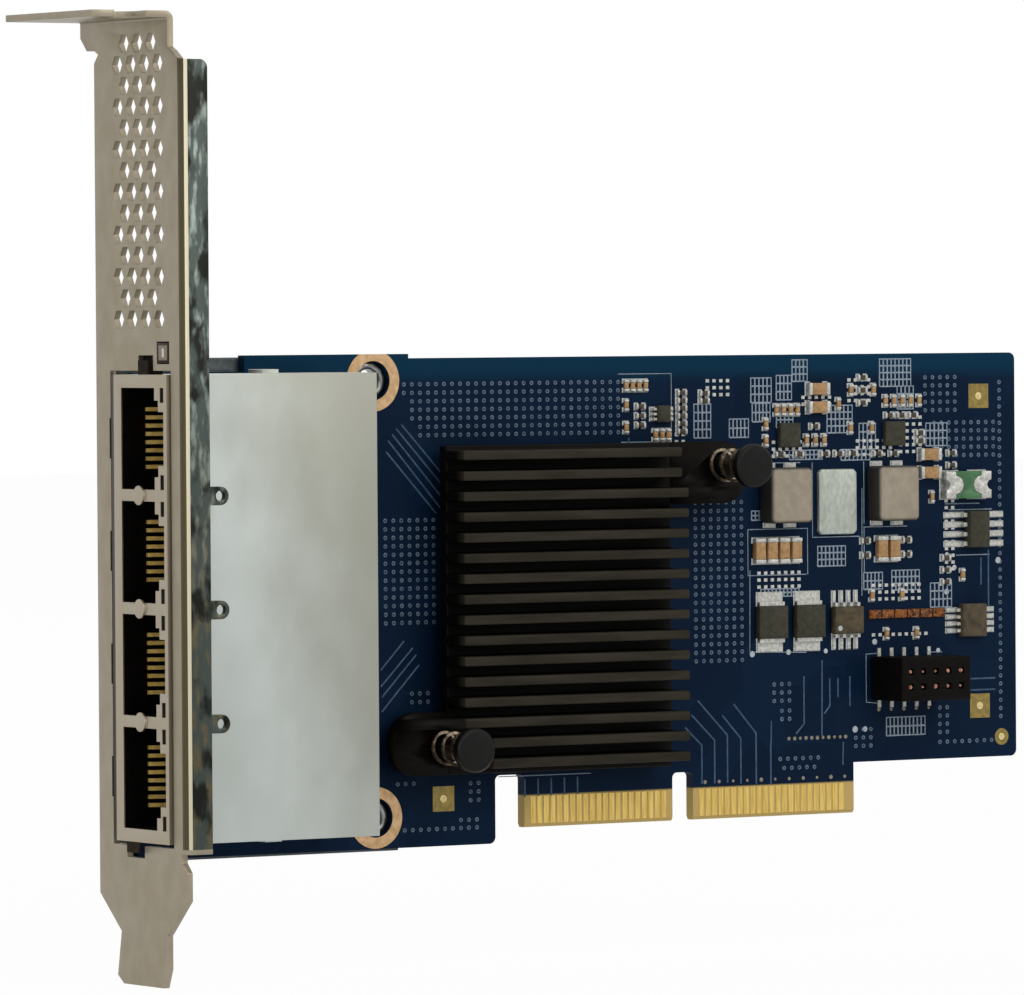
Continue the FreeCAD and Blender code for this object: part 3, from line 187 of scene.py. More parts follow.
class Graph:
    """The node tree of a material or of the surroundings, filled by a single node method."""

    def __init__(self, owner: Union[bpy.types.Material, bpy.types.World]) -> None:
        """Start with an empty tree on the owner."""
        self.owner = owner
        owner.use_nodes = True
        self.tree = owner.node_tree
        self.tree.nodes.clear()

    def node(self, kind: str, settings: Optional[dict[str, Any]] = None,
             sockets: Optional[dict[SocketKey, Level]] = None,
             output: SocketKey = 0) -> Wire:
        """Add a node and give one of its outputs as a wire.

        Args:
            kind: The node's type.
            settings: Properties by name.
            sockets: Values or wires by socket name or number.
            output: Which output the returned wire stands for.

        Returns:
            The chosen output.
        """
        made = new_node(self.tree, kind, settings, sockets)
        return Wire(self, made.outputs[output] if made.outputs else None)

    def place(self, stretch: tuple[float, float, float] = (1.0, 1.0, 1.0)) -> Wire:
        """Object coordinates in millimetres, divided by a stretch along each axis."""
        object_space = self.node("ShaderNodeTexCoord", output="Object")
        return self.node("ShaderNodeMapping", sockets={
            "Vector": object_space, "Scale": tuple(1 / MM / part for part in stretch)})

    def axis(self, index: int) -> Wire:
        """One object coordinate in millimetres: 0 along, 1 depth, 2 up."""
        return self.node("ShaderNodeSeparateXYZ", sockets={0: self.place()}, output=index)

    def noise(self, size: float, stretch: tuple[float, float, float] = (1.0, 1.0, 1.0),
              detail: float = 3.0) -> Wire:
        """Noise whose lumps are about size millimetres across, from 0 to 1."""
        return self.node("ShaderNodeTexNoise", sockets={
            "Vector": self.place(stretch), "Scale": 1 / size, "Detail": detail})

    def blend(self, factor: Level, first: Tone, second: Tone) -> Wire:
        """Mix two colours, each a wire or a display colour."""
        sides = [tone if isinstance(tone, Wire) else linear(tone) for tone in (first, second)]
        return self.node("ShaderNodeMix", {"data_type": "RGBA"},
                         {0: factor, 6: sides[0], 7: sides[1]}, output=2)

    def bump(self, height: Level, deep: float) -> Wire:
        """A bumped normal from a height between 0 and 1 and a depth in millimetres."""
        return self.node("ShaderNodeBump", sockets={
            "Height": height, "Distance": deep * MM, "Strength": 1.0})

    def surface(self, sockets: dict[SocketKey, Level]) -> bpy.types.Material:
        """Finish the material with one principled surface.

        Args:
            sockets: Values or wires of the surface's sockets.

        Returns:
            The finished material.
        """
        shade = self.node("ShaderNodeBsdfPrincipled", sockets=sockets)
        self.node("ShaderNodeOutputMaterial", sockets={"Surface": shade})
        return self.owner


# ------------------------------------------------------------------ finishes
FINER = 6
LUMP_SHARE = 0.6
FINE_SHARE = 0.4


@dataclass(frozen=True)
class Finish:
    """A surface with two mottled colours, uneven gloss and a fine relief."""

    name: str
    colour: Colour
    second: Colour
    grain: float = 1.0
    stretch: tuple[float, float, float] = (1.0, 1.0, 1.0)
    rough: Span = (0.4, 0.6)
    metal: float = 0.0
    relief: float = 0.01
    specular: float = 0.4

    def mottle(self, graph: Graph, lumps: Wire, soft: float = 0.5) -> Wire:
        """The two colours of the finish, mixed by its noise."""
        return graph.blend(lumps.above(0.5, soft), self.colour, self.second)

    def tint(self, graph: Graph, lumps: Wire) -> Wire:
        """Base colour of the surface.

        Args:
            graph: The material that is being filled.
            lumps: The noise that the finish shares between its sockets.

        Returns:
            The colour.
        """
        return self.mottle(graph, lumps, 0.4)

    def make(self) -> bpy.types.Material:
        """Build the finish as a material."""
        graph = Graph(bpy.data.materials.new(self.name))
        lumps = graph.noise(self.grain, self.stretch)
        fine = graph.noise(self.grain / FINER, self.stretch, 2.0)
        low, high = self.rough
        return graph.surface({
            "Base Color": self.tint(graph, lumps),
            "Roughness": (lumps * ((high - low) * LUMP_SHARE)
                          + fine * ((high - low) * FINE_SHARE) + low),
            "Metallic": self.metal,
            "Specular IOR Level": self.specular,
            "Normal": graph.bump(lumps * FINE_SHARE + fine * LUMP_SHARE, self.relief),
        })


@dataclass(frozen=True)
class SolderMask(Finish):
    """Dark blue mask over copper pours, teal near the board's upper edge."""

    teal: Colour = (12, 50, 74)
    teal_above: float = 57.6
    laminate: Colour = (196, 170, 108)
    tongue_from: float = -24.4
    tongue_top: float = 4.1
    tongue_soft: float = 0.3
    teal_soft: float = 2.5
    pour_scale: float = 0.11
    pour_share: float = 0.35
    lump_share: float = 0.3

    def tint(self, graph: Graph, lumps: Wire) -> Wire:
        """Mask colour with slow patches, denser pours and the teal upper strip."""
        pours = graph.node("ShaderNodeTexVoronoi", {"distance": "CHEBYCHEV"},
                           {"Vector": graph.place(), "Scale": self.pour_scale}, output="Color")
        patch = graph.node("ShaderNodeSeparateColor", sockets={0: pours})
        mixed = graph.blend(
            patch.above(0.55, 0.4) * self.pour_share + lumps * self.lump_share,
            self.colour, self.second)
        masked = graph.blend(graph.axis(2).above(self.teal_above, self.teal_soft), mixed,
                             self.teal)
        tongue = (graph.axis(0).above(self.tongue_from, self.tongue_soft)
                  * (1 - graph.axis(2).above(self.tongue_top, self.tongue_soft)))
        return graph.blend(tongue, masked, self.laminate)


@dataclass(frozen=True)
class JackSheet(Finish):
    """Jack sheet: painted reflection fading along the board, warm front with a painted gap
    shadow.
    """

    # Painted reflection: the sheet fades from its own tone to this dimmer tone along the board
    # and upwards.
    reflection_fade_tone: Colour = (148, 149, 138)
    fade_from: float = -78.0
    fade_over: float = 26.0
    fade_level: float = 34.0
    fade_rise: float = 90.0
    fade_soft: float = 1.1
    fade_noise: float = 0.7
    front: Colour = (164, 154, 136)
    front_at: float = -83.7
    # Painted shadow: a dark band along the far side of the front face, where the gap is.
    painted_gap_shadow: Colour = (44, 34, 24)
    gap_shadow_from: float = -1.4

    def tint(self, graph: Graph, lumps: Wire) -> Wire:
        """Warm front with a painted gap shadow; behind it the painted reflection fades out."""
        # Where the painted reflection fades: by place along the board, height and noise.
        reflection_fade = ((graph.axis(0) - self.fade_from) / self.fade_over
                 + (graph.axis(2) - self.fade_level) / self.fade_rise
                 + (lumps - 0.5) * self.fade_noise)
        sheet = graph.blend(reflection_fade.above(0.5, self.fade_soft), self.mottle(graph, lumps),
                            self.reflection_fade_tone)
        face = graph.blend(graph.axis(1).above(self.gap_shadow_from, 0.15), self.front, self.painted_gap_shadow)
        return graph.blend(graph.axis(0).above(self.front_at, 0.2), face, sheet)


@dataclass(frozen=True)
class PaintedLightSheet(Finish):
    """Bracket sheet: painted reflection on the flange, painted shade and highlight on the bend.
    """

    # Painted reflection on the forward flange: a dark tone with pale streaks and darker patches,
    # lighter towards the top.
    painted_reflection: Colour = (66, 74, 70)
    reflection_low: Colour = (92, 86, 62)
    reflection_high: Colour = (128, 138, 132)
    reflection_dark_patch: Colour = (24, 26, 21)
    reflection_turns: float = 42.0
    reflection_over: float = 40.0
    # Painted shade: a dark line where the bend starts.
    painted_crease_shade: Colour = (80, 73, 50)
    # Painted highlight: a cream band along the bend.
    painted_highlight: Colour = (208, 200, 174)
    crease_shade_edge: Span = (-84.3, -16.95)
    highlight_edge: Span = (-83.9, -17.35)
    reflection_edge: Span = (-83.52, -17.35)
    flange_low: float = 0.3
    edge_soft: float = 0.06
    bend_soft: float = 0.1

    def tint(self, graph: Graph, lumps: Wire) -> Wire:
        """Sheet colour, then painted crease shade, highlight and reflection across the bend."""
        along = graph.axis(0)
        on_flange = graph.axis(2).above(self.flange_low, self.bend_soft)
        tone = self.mottle(graph, lumps, 0.6)
        # Pale streaks and darker patches of the painted reflection.
        pale = graph.noise(self.grain * 0.5, (0.7, 1.0, 2.6)).above(0.55, 0.2)
        deep = graph.noise(self.grain * 1.2, (1.0, 1.0, 1.8)).above(0.53, 0.14)
        # The painted reflection grows lighter towards the top.
        light = graph.blend(graph.axis(2).above(self.reflection_turns, self.reflection_over),
                            self.reflection_low, self.reflection_high)
        painted_reflection = graph.blend(deep, graph.blend(pale, self.painted_reflection, light), self.reflection_dark_patch)
        for (start, before), colour in ((self.crease_shade_edge, self.painted_crease_shade),
                                        (self.highlight_edge, self.painted_highlight),
                                        (self.reflection_edge, painted_reflection)):
            band = (along.above(start, self.edge_soft)
                    * (1 - graph.axis(1).above(before, self.bend_soft)))
            tone = graph.blend(band * on_flange, tone, colour)
        return tone


@dataclass(frozen=True)
class PipeFace(Finish):
    """A small window: a painted shade rim, a warm middle and a painted highlight slit."""

    # Painted shade in the thin gap round the window, and a painted highlight in its clear middle.
    rim_shade: Colour = (46, 34, 26)
    slit_highlight: Colour = (236, 234, 226)
    middle: Span = (-12.93, 61.12)
    half: Span = (1.55, 1.37)
    slit_half: Span = (0.16, 0.4)
    slit_soft: float = 0.1
    rim_shade_from: float = 0.66
    rim_shade_soft: float = 0.12

    def tint(self, graph: Graph, lumps: Wire) -> Wire:
        """Warm middle, then the painted highlight slit, then the painted shade rim."""
        across = abs(graph.axis(1) - self.middle[0]) / self.half[0]
        up = abs(graph.axis(2) - self.middle[1]) / self.half[1]
        inner = ((1 - across.above(self.slit_half[0], self.slit_soft))
                 * (1 - up.above(self.slit_half[1], self.slit_soft)))
        rim_shade = graph.node("ShaderNodeMath", {"operation": "MAXIMUM"}, {0: across, 1: up})
        middle = graph.blend(inner, self.mottle(graph, lumps), self.slit_highlight)
        return graph.blend(rim_shade.above(self.rim_shade_from, self.rim_shade_soft), middle, self.rim_shade)


@dataclass(frozen=True)
class PaintedSideShade(Finish):
    """A block whose front face keeps its own colour and whose sides carry painted shade."""

    # Painted shade: the dark colour of the sides behind the front face.
    side: Colour = (40, 38, 34)
    face_at: float = -3.9
    soft: float = 0.6

    def tint(self, graph: Graph, lumps: Wire) -> Wire:
        """Own colour in front of the face depth, painted shade behind it."""
        return graph.blend(graph.axis(1).above(self.face_at, self.soft),
                           self.mottle(graph, lumps), self.side)


@dataclass(frozen=True)
class Speckled(Finish):
    """Moulding compound or ceramic with fine light specks."""

    speck: Colour = (120, 118, 108)
    amount: float = 0.3
    cells: float = 6.0
    speck_edge: Span = (0.22, 0.16)

    def tint(self, graph: Graph, lumps: Wire) -> Wire:
        """Mottled colour with specks over it."""
        cells = graph.node("ShaderNodeTexVoronoi", {},
                           {"Vector": graph.place(), "Scale": self.cells}, output="Distance")
        return graph.blend((1 - cells.above(*self.speck_edge)) * self.amount,
                           self.mottle(graph, lumps), self.speck)


class Finishes(Enum):
    """Every finish of the adapter, by its material slot or its use."""

    MASK = SolderMask("blue_solder_mask", (9, 27, 48), (17, 38, 63), 6.0,
                      rough=(0.3, 0.45), relief=0.006, specular=0.04)
    GOLD = Finish("contact_gold", (222, 192, 110), (196, 164, 84), 1.2, (0.25, 1, 3),
                  (0.28, 0.44), 0.75, 0.004)
    WIRE_GOLD = Finish("contact_wire_gold", (240, 206, 120), (214, 174, 88), 0.8,
                       rough=(0.3, 0.45), metal=0.5)
    COPPER = Finish("washed_copper", (206, 172, 132), (182, 146, 104), 0.9,
                    rough=(0.35, 0.5), metal=0.6, relief=0.006)
    MARK_COPPER = Finish("mark_brass", (150, 128, 66), (122, 108, 62), 0.6,
                         rough=(0.35, 0.5), metal=0.6, relief=0.004)
    # Bracket steel with a painted reflection on its flange and painted shade and highlight at its
    # bend.
    BRACKET = PaintedLightSheet("bracket_steel_painted_light", (158, 149, 130), (149, 139, 120), 2.4,
                           (1, 1, 1.5), (0.36, 0.52), 0.75, 0.008)
    # Painted shade: the bracket's arms are the bracket's steel, coloured darker as the shade
    # behind the board.
    ARMS_IN_SHADE = Finish("arm_steel_painted_shade", (84, 92, 92), (66, 74, 76), 1.4, rough=(0.4, 0.55),
                  metal=0.5)
    BUSH = Finish("turned_bush", (150, 152, 150), (112, 112, 108), 0.8, (1, 0.3, 1),
                  (0.25, 0.4), 0.9, 0.01)
    # Jack can sheet with a painted fading reflection and a painted gap shadow.
    JACK_CAN = JackSheet("jack_can_painted_light", (190, 196, 192), (178, 184, 179), 9.0,
                         (1, 1, 1.6), (0.3, 0.46), 0.8, 0.008)
    # Painted shadow: the tin fingers are coloured dark as the shadow in the gap round the ports.
    FINGERS_IN_SHADOW = Finish("spring_finger_tin_painted_shadow", (48, 38, 27), (30, 24, 18), 0.7,
                     rough=(0.5, 0.7), metal=0.0, specular=0.05)
    BLACK_PLASTIC = Finish("black_moulding", (10, 8, 7), (16, 13, 12), 0.7,
                           rough=(0.42, 0.6), relief=0.01, specular=0.05)
    LAMP_DARK = Finish("unlit_lamp", (24, 21, 17), (16, 14, 11), 0.5,
                       rough=(0.4, 0.55), specular=0.03)
    # Light pipe window with a painted shade rim and a painted highlight slit.
    PIPE = PipeFace("pipe_window_painted_light", (158, 146, 128), (146, 134, 116), 0.8,
                    rough=(0.3, 0.45), specular=0.1)
    TAB_DARK = Finish("dark_tab_steel", (40, 32, 26), (26, 20, 16), 0.5,
                      rough=(0.5, 0.65), specular=0.05)
    PAD_DULL = Finish("dull_test_pad", (150, 140, 118), (112, 108, 96), 0.4,
                      rough=(0.4, 0.6), metal=0.2)
    TIN = Finish("tinned_end", (206, 206, 200), (168, 168, 162), 0.35,
                 rough=(0.28, 0.5), metal=0.35, relief=0.02)
    SOLDER = Finish("solder_fillet", (188, 190, 186), (142, 146, 146), 0.4,
                    rough=(0.22, 0.4), metal=0.5, relief=0.02)
    # Fins with their sides behind the front face painted dark as shade.
    FINS = PaintedSideShade("anodised_fins_painted_side_shade", (54, 50, 42), (40, 37, 30), 1.4, (6, 1, 1),
                    (0.4, 0.6), 0.0, 0.01, 0.06, side=(13, 11, 9), face_at=-7.6, soft=1.8)
    EAR = Finish("anodised_ear", (22, 19, 15), (13, 11, 9), 1.4, (3, 1, 1),
                 (0.4, 0.6), 0.0, 0.01, 0.06)
    PIN = Finish("pin_moulding", (13, 12, 11), (19, 17, 16), 0.7,
                 rough=(0.28, 0.4), relief=0.006, specular=0.14)
    CHIP_BLACK = Speckled("controller_moulding", (30, 30, 29), (20, 20, 20), 0.6)
    ARRAY = Speckled("array_coating", (158, 92, 36), (36, 24, 18), 0.5,
                     rough=(0.4, 0.6), specular=0.1, speck=(232, 206, 180), amount=0.9)
    SOCKET_TIN = Finish("socket_contact", (206, 156, 130), (112, 44, 30), 0.45,
                        rough=(0.3, 0.5), metal=0.3)
    CHIP_OLIVE = Speckled("olive_moulding", (62, 61, 48), (46, 46, 37), 0.7,
                          rough=(0.5, 0.7), relief=0.02, specular=0.2)
    CHIP_BROWN = Speckled("brown_moulding", (92, 80, 60), (62, 56, 44), 0.8,
                          rough=(0.5, 0.7), relief=0.02, specular=0.2)
    PAD = Finish("thermal_pad_grey", (120, 120, 124), (104, 104, 108), 0.8,
                 rough=(0.8, 0.95), relief=0.03)
    SPRING = Finish("spring_wire", (186, 168, 142), (104, 92, 78), 0.6,
                    rough=(0.2, 0.35), metal=0.9, relief=0.004)
    CERAMIC_TAN = Speckled("tan_ceramic", (184, 146, 98), (150, 114, 72), 0.5,
                           rough=(0.4, 0.55), speck=(214, 180, 130))
    CERAMIC_DARK = Speckled("dark_ceramic", (38, 34, 30), (64, 52, 38), 0.35,
                            rough=(0.35, 0.5), speck=(120, 90, 60), amount=0.5)
    FUSE_GREEN = Speckled("fuse_polymer", (64, 116, 70), (50, 94, 58), 0.9,
                          rough=(0.3, 0.45), speck=(130, 178, 122))
    # Inductors with their sides behind the top face painted dark as shade.
    FERRITE = PaintedSideShade("ferrite_painted_side_shade", (190, 178, 158), (172, 160, 141), 1.2,
                       rough=(0.5, 0.7), relief=0.02)
    CAN_PALE = Speckled("mottled_can", (190, 196, 186), (162, 170, 161), 0.5,
                        (1, 1, 2), (0.4, 0.6), 0.35, 0.03, speck=(196, 200, 192),
                        amount=0.6)
    SILK = Finish("silkscreen_ink", (156, 168, 180), (126, 142, 158), 0.3,
                  rough=(0.6, 0.8), relief=0.01, specular=0.2)
    SILK_BRIGHT = Finish("silkscreen_white", (196, 202, 206), (170, 178, 184), 0.3,
                         rough=(0.6, 0.8), relief=0.01, specular=0.2)
    TRACE = Finish("masked_trace", (72, 98, 126), (52, 76, 104), 0.8,
                   rough=(0.3, 0.45), relief=0.004, specular=0.2)
    VIA = Finish("masked_via", (114, 130, 148), (84, 103, 124), 0.5,
                 rough=(0.35, 0.5), relief=0.004, specular=0.25)
    BRASS_DOT = Finish("bare_dot", (224, 206, 150), (196, 176, 118), 0.3,
                       rough=(0.3, 0.45), metal=0.5)

    @lru_cache(maxsize=None)
    def material(self) -> bpy.types.Material:
        """The finish's material, built at its first use."""
        return self.value.make()


# ------------------------------------------------------------------ shared builders
def placed(name: str, data: bpy.types.ID) -> bpy.types.Object:
    """Put an object with the given data into the scene."""
    item = bpy.data.objects.new(name, data)
    bpy.context.scene.collection.objects.link(item)
    return item


def finished(work: bmesh.types.BMesh, name: str, finish: Finishes) -> bpy.types.Mesh:
    """Turn edited geometry into a mesh with one finish.

    Args:
        work: The geometry, which is freed.
        name: Name of the mesh.
        finish: The finish to assign.

    Returns:
        The mesh.
    """
    mesh = bpy.data.meshes.new(name)
    work.to_mesh(mesh)
    work.free()
    mesh.materials.append(finish.material())
    return mesh


def dress(node: str, finish: Finishes) -> None:
    """Give a CAD node's own mesh a finish.

    Args:
        node: Name of the CAD node.
        finish: The finish to assign.
    """
    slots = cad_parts[node].data.materials
    slots.clear()
    slots.append(finish.material())


def adopt(mesh: bpy.types.Mesh, name: str, slot: str) -> bpy.types.Object:
    """Put a finished mesh on the adapter as a piece of its own.

    Args:
        mesh: The mesh, already in the model's place.
        name: Name of the piece.
        slot: Not used.

    Returns:
        The piece.
    """
    mesh.name = name
    piece = placed(name, mesh)
    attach(piece, BODY)
    return piece


def settled(carrier: bpy.types.Object) -> bpy.types.Mesh:
    """Apply a carrier's modifiers, drop it, and give the plain mesh that results."""
    bpy.context.view_layer.update()
    evaluated = carrier.evaluated_get(bpy.context.evaluated_depsgraph_get())
    mesh = bpy.data.meshes.new_from_object(evaluated)
    carrier.modifiers.clear()
    bpy.data.objects.remove(carrier)
    return mesh


def outward(mesh: bpy.types.Mesh) -> bpy.types.Mesh:
    """Merge a mesh's doubles and turn its faces outwards.

    Args:
        mesh: The mesh, whose shells are closed.

    Returns:
        The same mesh.
    """
    work = bmesh.new()
    work.from_mesh(mesh)
    bmesh.ops.remove_doubles(work, verts=work.verts, dist=LAID_DOUBLES)
    bmesh.ops.recalc_face_normals(work, faces=work.faces)
    work.to_mesh(mesh)
    work.free()
    return mesh


def without_slivers(mesh: bpy.types.Mesh) -> bpy.types.Mesh:
    """Take the flat slivers that rounding leaves out of a mesh.

    Args:
        mesh: The rounded mesh.

    Returns:
        The same mesh.
    """
    work = bmesh.new()
    work.from_mesh(mesh)
    before = len(work.faces)
    bmesh.ops.dissolve_degenerate(work, dist=SLIVER, edges=work.edges)
    if len(work.faces) != before:
        work.to_mesh(mesh)
    work.free()
    return mesh


def welded(node: str) -> bmesh.types.BMesh:
    """A copy of a CAD node's mesh with its doubles merged."""
    work = bmesh.new()
    work.from_mesh(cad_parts[node].data)
    bmesh.ops.remove_doubles(work, verts=work.verts, dist=CAD_DOUBLES)
    return work


def merged_copy(node: str) -> bmesh.types.BMesh:
    """A welded copy of a CAD node's mesh with its flat faces joined."""
    work = welded(node)
    bmesh.ops.dissolve_limit(work, angle_limit=math.radians(FLAT_DEGREES), verts=work.verts,
                             edges=work.edges)
    return work


def polish(node: str, finish: Finishes, slot: str, width: float,
           segments: int = 2) -> None:
    """Replace a CAD node by a copy whose sharp edges are rounded.

    Args:
        node: Name of the CAD node.
        finish: The finish to assign.
        slot: Material slot of the node.
        width: Width of the rounding in millimetres.
        segments: Number of steps across the rounding.
    """
    mesh = finished(merged_copy(node), f"{node}_sharp", finish)
    mesh.polygons.foreach_set("use_smooth", [True] * len(mesh.polygons))
    carrier = placed(f"{node}_carrier", mesh)
    rounding = carrier.modifiers.new("rounded_edges", "BEVEL")
    rounding.width = width * MM
    rounding.segments = segments
    rounding.limit_method = "ANGLE"
    rounding.angle_limit = math.radians(SHARP_DEGREES)
    rounding.use_clamp_overlap = True
    rounding.harden_normals = True
    piece = adopt(without_slivers(settled(carrier)), f"{node}_rounded", slot)
    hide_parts(node)


def solids_of(node: str) -> Iterator[tuple[Vector, Vector]]:
    """Go through the separate solids of a CAD node, in the same order each run.

    Args:
        node: Name of the CAD node.

    Returns:
        The lowest and the highest corner of each solid.
    """
    work = welded(node)
    waiting = set(work.verts)
    for first in work.verts:
        if first not in waiting:
            continue
        waiting.remove(first)
        stack = [first]
        spots = []
        while stack:
            corner = stack.pop()
            spots.append(corner.co.copy())
            for edge in corner.link_edges:
                other = edge.other_vert(corner)
                if other in waiting:
                    waiting.remove(other)
                    stack.append(other)
        yield (Vector([min(spot[axis] for spot in spots) for axis in range(3)]),
               Vector([max(spot[axis] for spot in spots) for axis in range(3)]))
    work.free()


def thicken(node: str, finish: Finishes, slot: str, by: float) -> None:
    """Replace a CAD node by a copy whose solids are a little taller.

    Args:
        node: Name of the CAD node.
        finish: The finish to assign.
        slot: Material slot of the node.
        by: How far the upper and lower faces move, in millimetres.
    """
    work = merged_copy(node)
    heights = [(low.z + high.z) / 2 for low, high in solids_of(node)]
    for corner in work.verts:
        middle = min(heights, key=lambda height: abs(height - corner.co.z))
        corner.co.z += math.copysign(by * MM, corner.co.z - middle)
    name = f"{node}_taller"
    piece = adopt(finished(work, name, finish), name, slot)
    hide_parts(node)


@dataclass
class Recipe:
    """A Geometry Nodes tree with named inputs, applied to point or edge meshes.

    The input mesh lies in the plane of zero depth.  The tree thickens it, flattens the
    result in depth and moves it to the face that it lies on.  A recipe's own inputs are
    named in its sizes.
    """

    sizes: ClassVar[tuple[str, ...]] = ()
    name: str
    tree: bpy.types.NodeTree = field(init=False)
    sockets: dict[str, str] = field(init=False, default_factory=dict)

    def __post_init__(self) -> None:
        """Build the tree: inputs, shape, flattening, realised instances and finish."""
        self.tree = bpy.data.node_groups.new(self.name, "GeometryNodeTree")
        self.declare("Geometry", "NodeSocketGeometry")
        self.declare("Finish", "NodeSocketMaterial")
        for label in ("Flatness", "Face", *self.sizes):
            self.declare(label, "NodeSocketFloat")
        self.tree.interface.new_socket("Geometry", in_out="OUTPUT",
                                       socket_type="NodeSocketGeometry")
        self.entry = self.add("NodeGroupInput")
        shape = self.shape()
        squash = self.add("ShaderNodeCombineXYZ", {0: 1.0, 1: self.given("Flatness"),
                                                   2: 1.0})
        shift = self.add("ShaderNodeCombineXYZ", {1: self.given("Face")})
        flat = self.add("GeometryNodeTransform", {
            "Geometry": shape, "Scale": squash.outputs[0],
            "Translation": shift.outputs[0]})
        real = self.add("GeometryNodeRealizeInstances", {0: flat.outputs[0]})
        painted = self.add("GeometryNodeSetMaterial", {
            "Geometry": real.outputs[0], "Material": self.given("Finish")})
        self.add("NodeGroupOutput", {0: painted.outputs[0]})

    def shape(self) -> bpy.types.NodeSocket:
        """Add the nodes that make the recipe's shape, and give their output."""
        raise NotImplementedError

    def declare(self, label: str, kind: str) -> None:
        """Add a named input and keep its identifier."""
        made = self.tree.interface.new_socket(label, in_out="INPUT", socket_type=kind)
        self.sockets[label] = made.identifier

    def given(self, label: str) -> bpy.types.NodeSocket:
        """The named input as a socket inside the tree."""
        return self.entry.outputs[label]

    def add(self, kind: str, links: Optional[dict[SocketKey, Any]] = None,
            settings: Optional[dict[str, Any]] = None) -> bpy.types.Node:
        """Add a node to the recipe's tree, with its links or values and its settings."""
        return new_node(self.tree, kind, settings, links)

    def compute(self, operation: str, first: Any, second: Any) -> bpy.types.NodeSocket:
        """Add a Math node on two values and give its result."""
        return self.add("ShaderNodeMath", {0: first, 1: second},
                        {"operation": operation}).outputs[0]

    def on_points(self, shape: bpy.types.Node, **links: Any) -> bpy.types.NodeSocket:
        """Instance a shape on every point of the input, and give the copies."""
        return self.add("GeometryNodeInstanceOnPoints", {
            "Points": self.given("Geometry"), "Instance": shape.outputs[0], **links}).outputs[0]

    def lay(self, name: str, slot: str, finish: Finishes, mesh: bpy.types.Mesh,
            face: float, **sizes: float) -> None:
        """Apply the recipe to a mesh and put the result on the adapter.

        Args:
            name: Name of the piece.
            slot: Material slot of the piece.
            finish: The finish to assign.
            mesh: Points or edges in the plane of zero depth.
            face: Depth of the face that the result lies on, in metres.
            **sizes: The recipe's own inputs, with Flatness.
        """
        carrier = placed(f"{name}_carrier", mesh)
        modifier = carrier.modifiers.new(self.name, "NODES")
        modifier.node_group = self.tree
        modifier[self.sockets["Finish"]] = finish.material()
        modifier[self.sockets["Face"]] = face
        for label, value in sizes.items():
            modifier[self.sockets[label]] = value
        adopt(outward(settled(carrier)), name, slot)


@dataclass
class Rings(Recipe):
    """Small rings on points: plated holes and their lands."""

    sizes: ClassVar[tuple[str, ...]] = ("Radius", "Wire")

    def shape(self) -> bpy.types.NodeSocket:
        """Instance an eight-sided ring, turned to face forward, on every point."""
        path, section = [self.add("GeometryNodeCurvePrimitiveCircle", {
            "Resolution": sides, "Radius": self.given(label)})
            for sides, label in ((8, "Radius"), (4, "Wire"))]
        ring = self.add("GeometryNodeCurveToMesh", {
            "Curve": path.outputs[0], "Profile Curve": section.outputs[0]})
        return self.on_points(ring, Rotation=FORWARD)


@dataclass
class Studs(Recipe):
    """Low round studs on points, whose radii vary: dots, small pads and pin marks."""

    sizes: ClassVar[tuple[str, ...]] = ("Radius", "Spread")
    sides: int = 10
    taper: float = 0.7
    seed: int = 7

    def shape(self) -> bpy.types.NodeSocket:
        """Instance a tapered stud on every point, each a little larger or smaller."""
        stud = self.add("GeometryNodeMeshCone", {
            "Vertices": self.sides, "Radius Top": self.taper * MM,
            "Radius Bottom": 1.0 * MM, "Depth": 1.0 * MM})
        less, more = [self.compute(operation, 1.0, self.given("Spread"))
                      for operation in ("SUBTRACT", "ADD")]
        vary = self.add("FunctionNodeRandomValue", {2: less, 3: more, "Seed": self.seed})
        size = self.compute("MULTIPLY", vary.outputs[1], self.given("Radius"))
        return self.on_points(stud, Rotation=FORWARD,
                              Scale=self.compute("MULTIPLY", size, 1 / MM))


@dataclass
class Lands(Recipe):
    """Small rectangular pads on points: places of parts that aren't fitted."""

    sizes: ClassVar[tuple[str, ...]] = ("Width", "Height")

    def shape(self) -> bpy.types.NodeSocket:
        """Instance a low block on every point."""
        size = self.add("ShaderNodeCombineXYZ", {
            0: self.given("Width"), 1: 1.0 * MM, 2: self.given("Height")})
        block = self.add("GeometryNodeMeshCube", {0: size.outputs[0]})
        return self.on_points(block)


@dataclass
class Strokes(Recipe):
    """Flat strokes along edges: traces, outlines and hatching."""

    sizes: ClassVar[tuple[str, ...]] = ("Half width",)

    def shape(self) -> bpy.types.NodeSocket:
        """Sweep a hexagon along every chain of edges."""
        chains = self.add("GeometryNodeMeshToCurve", {0: self.given("Geometry")})
        section = self.add("GeometryNodeCurvePrimitiveCircle", {
            "Resolution": 6, "Radius": self.given("Half width")})
        swept = self.add("GeometryNodeCurveToMesh", {
            "Curve": chains.outputs[0], "Profile Curve": section.outputs[0],
            "Fill Caps": True})
        return swept.outputs[0]


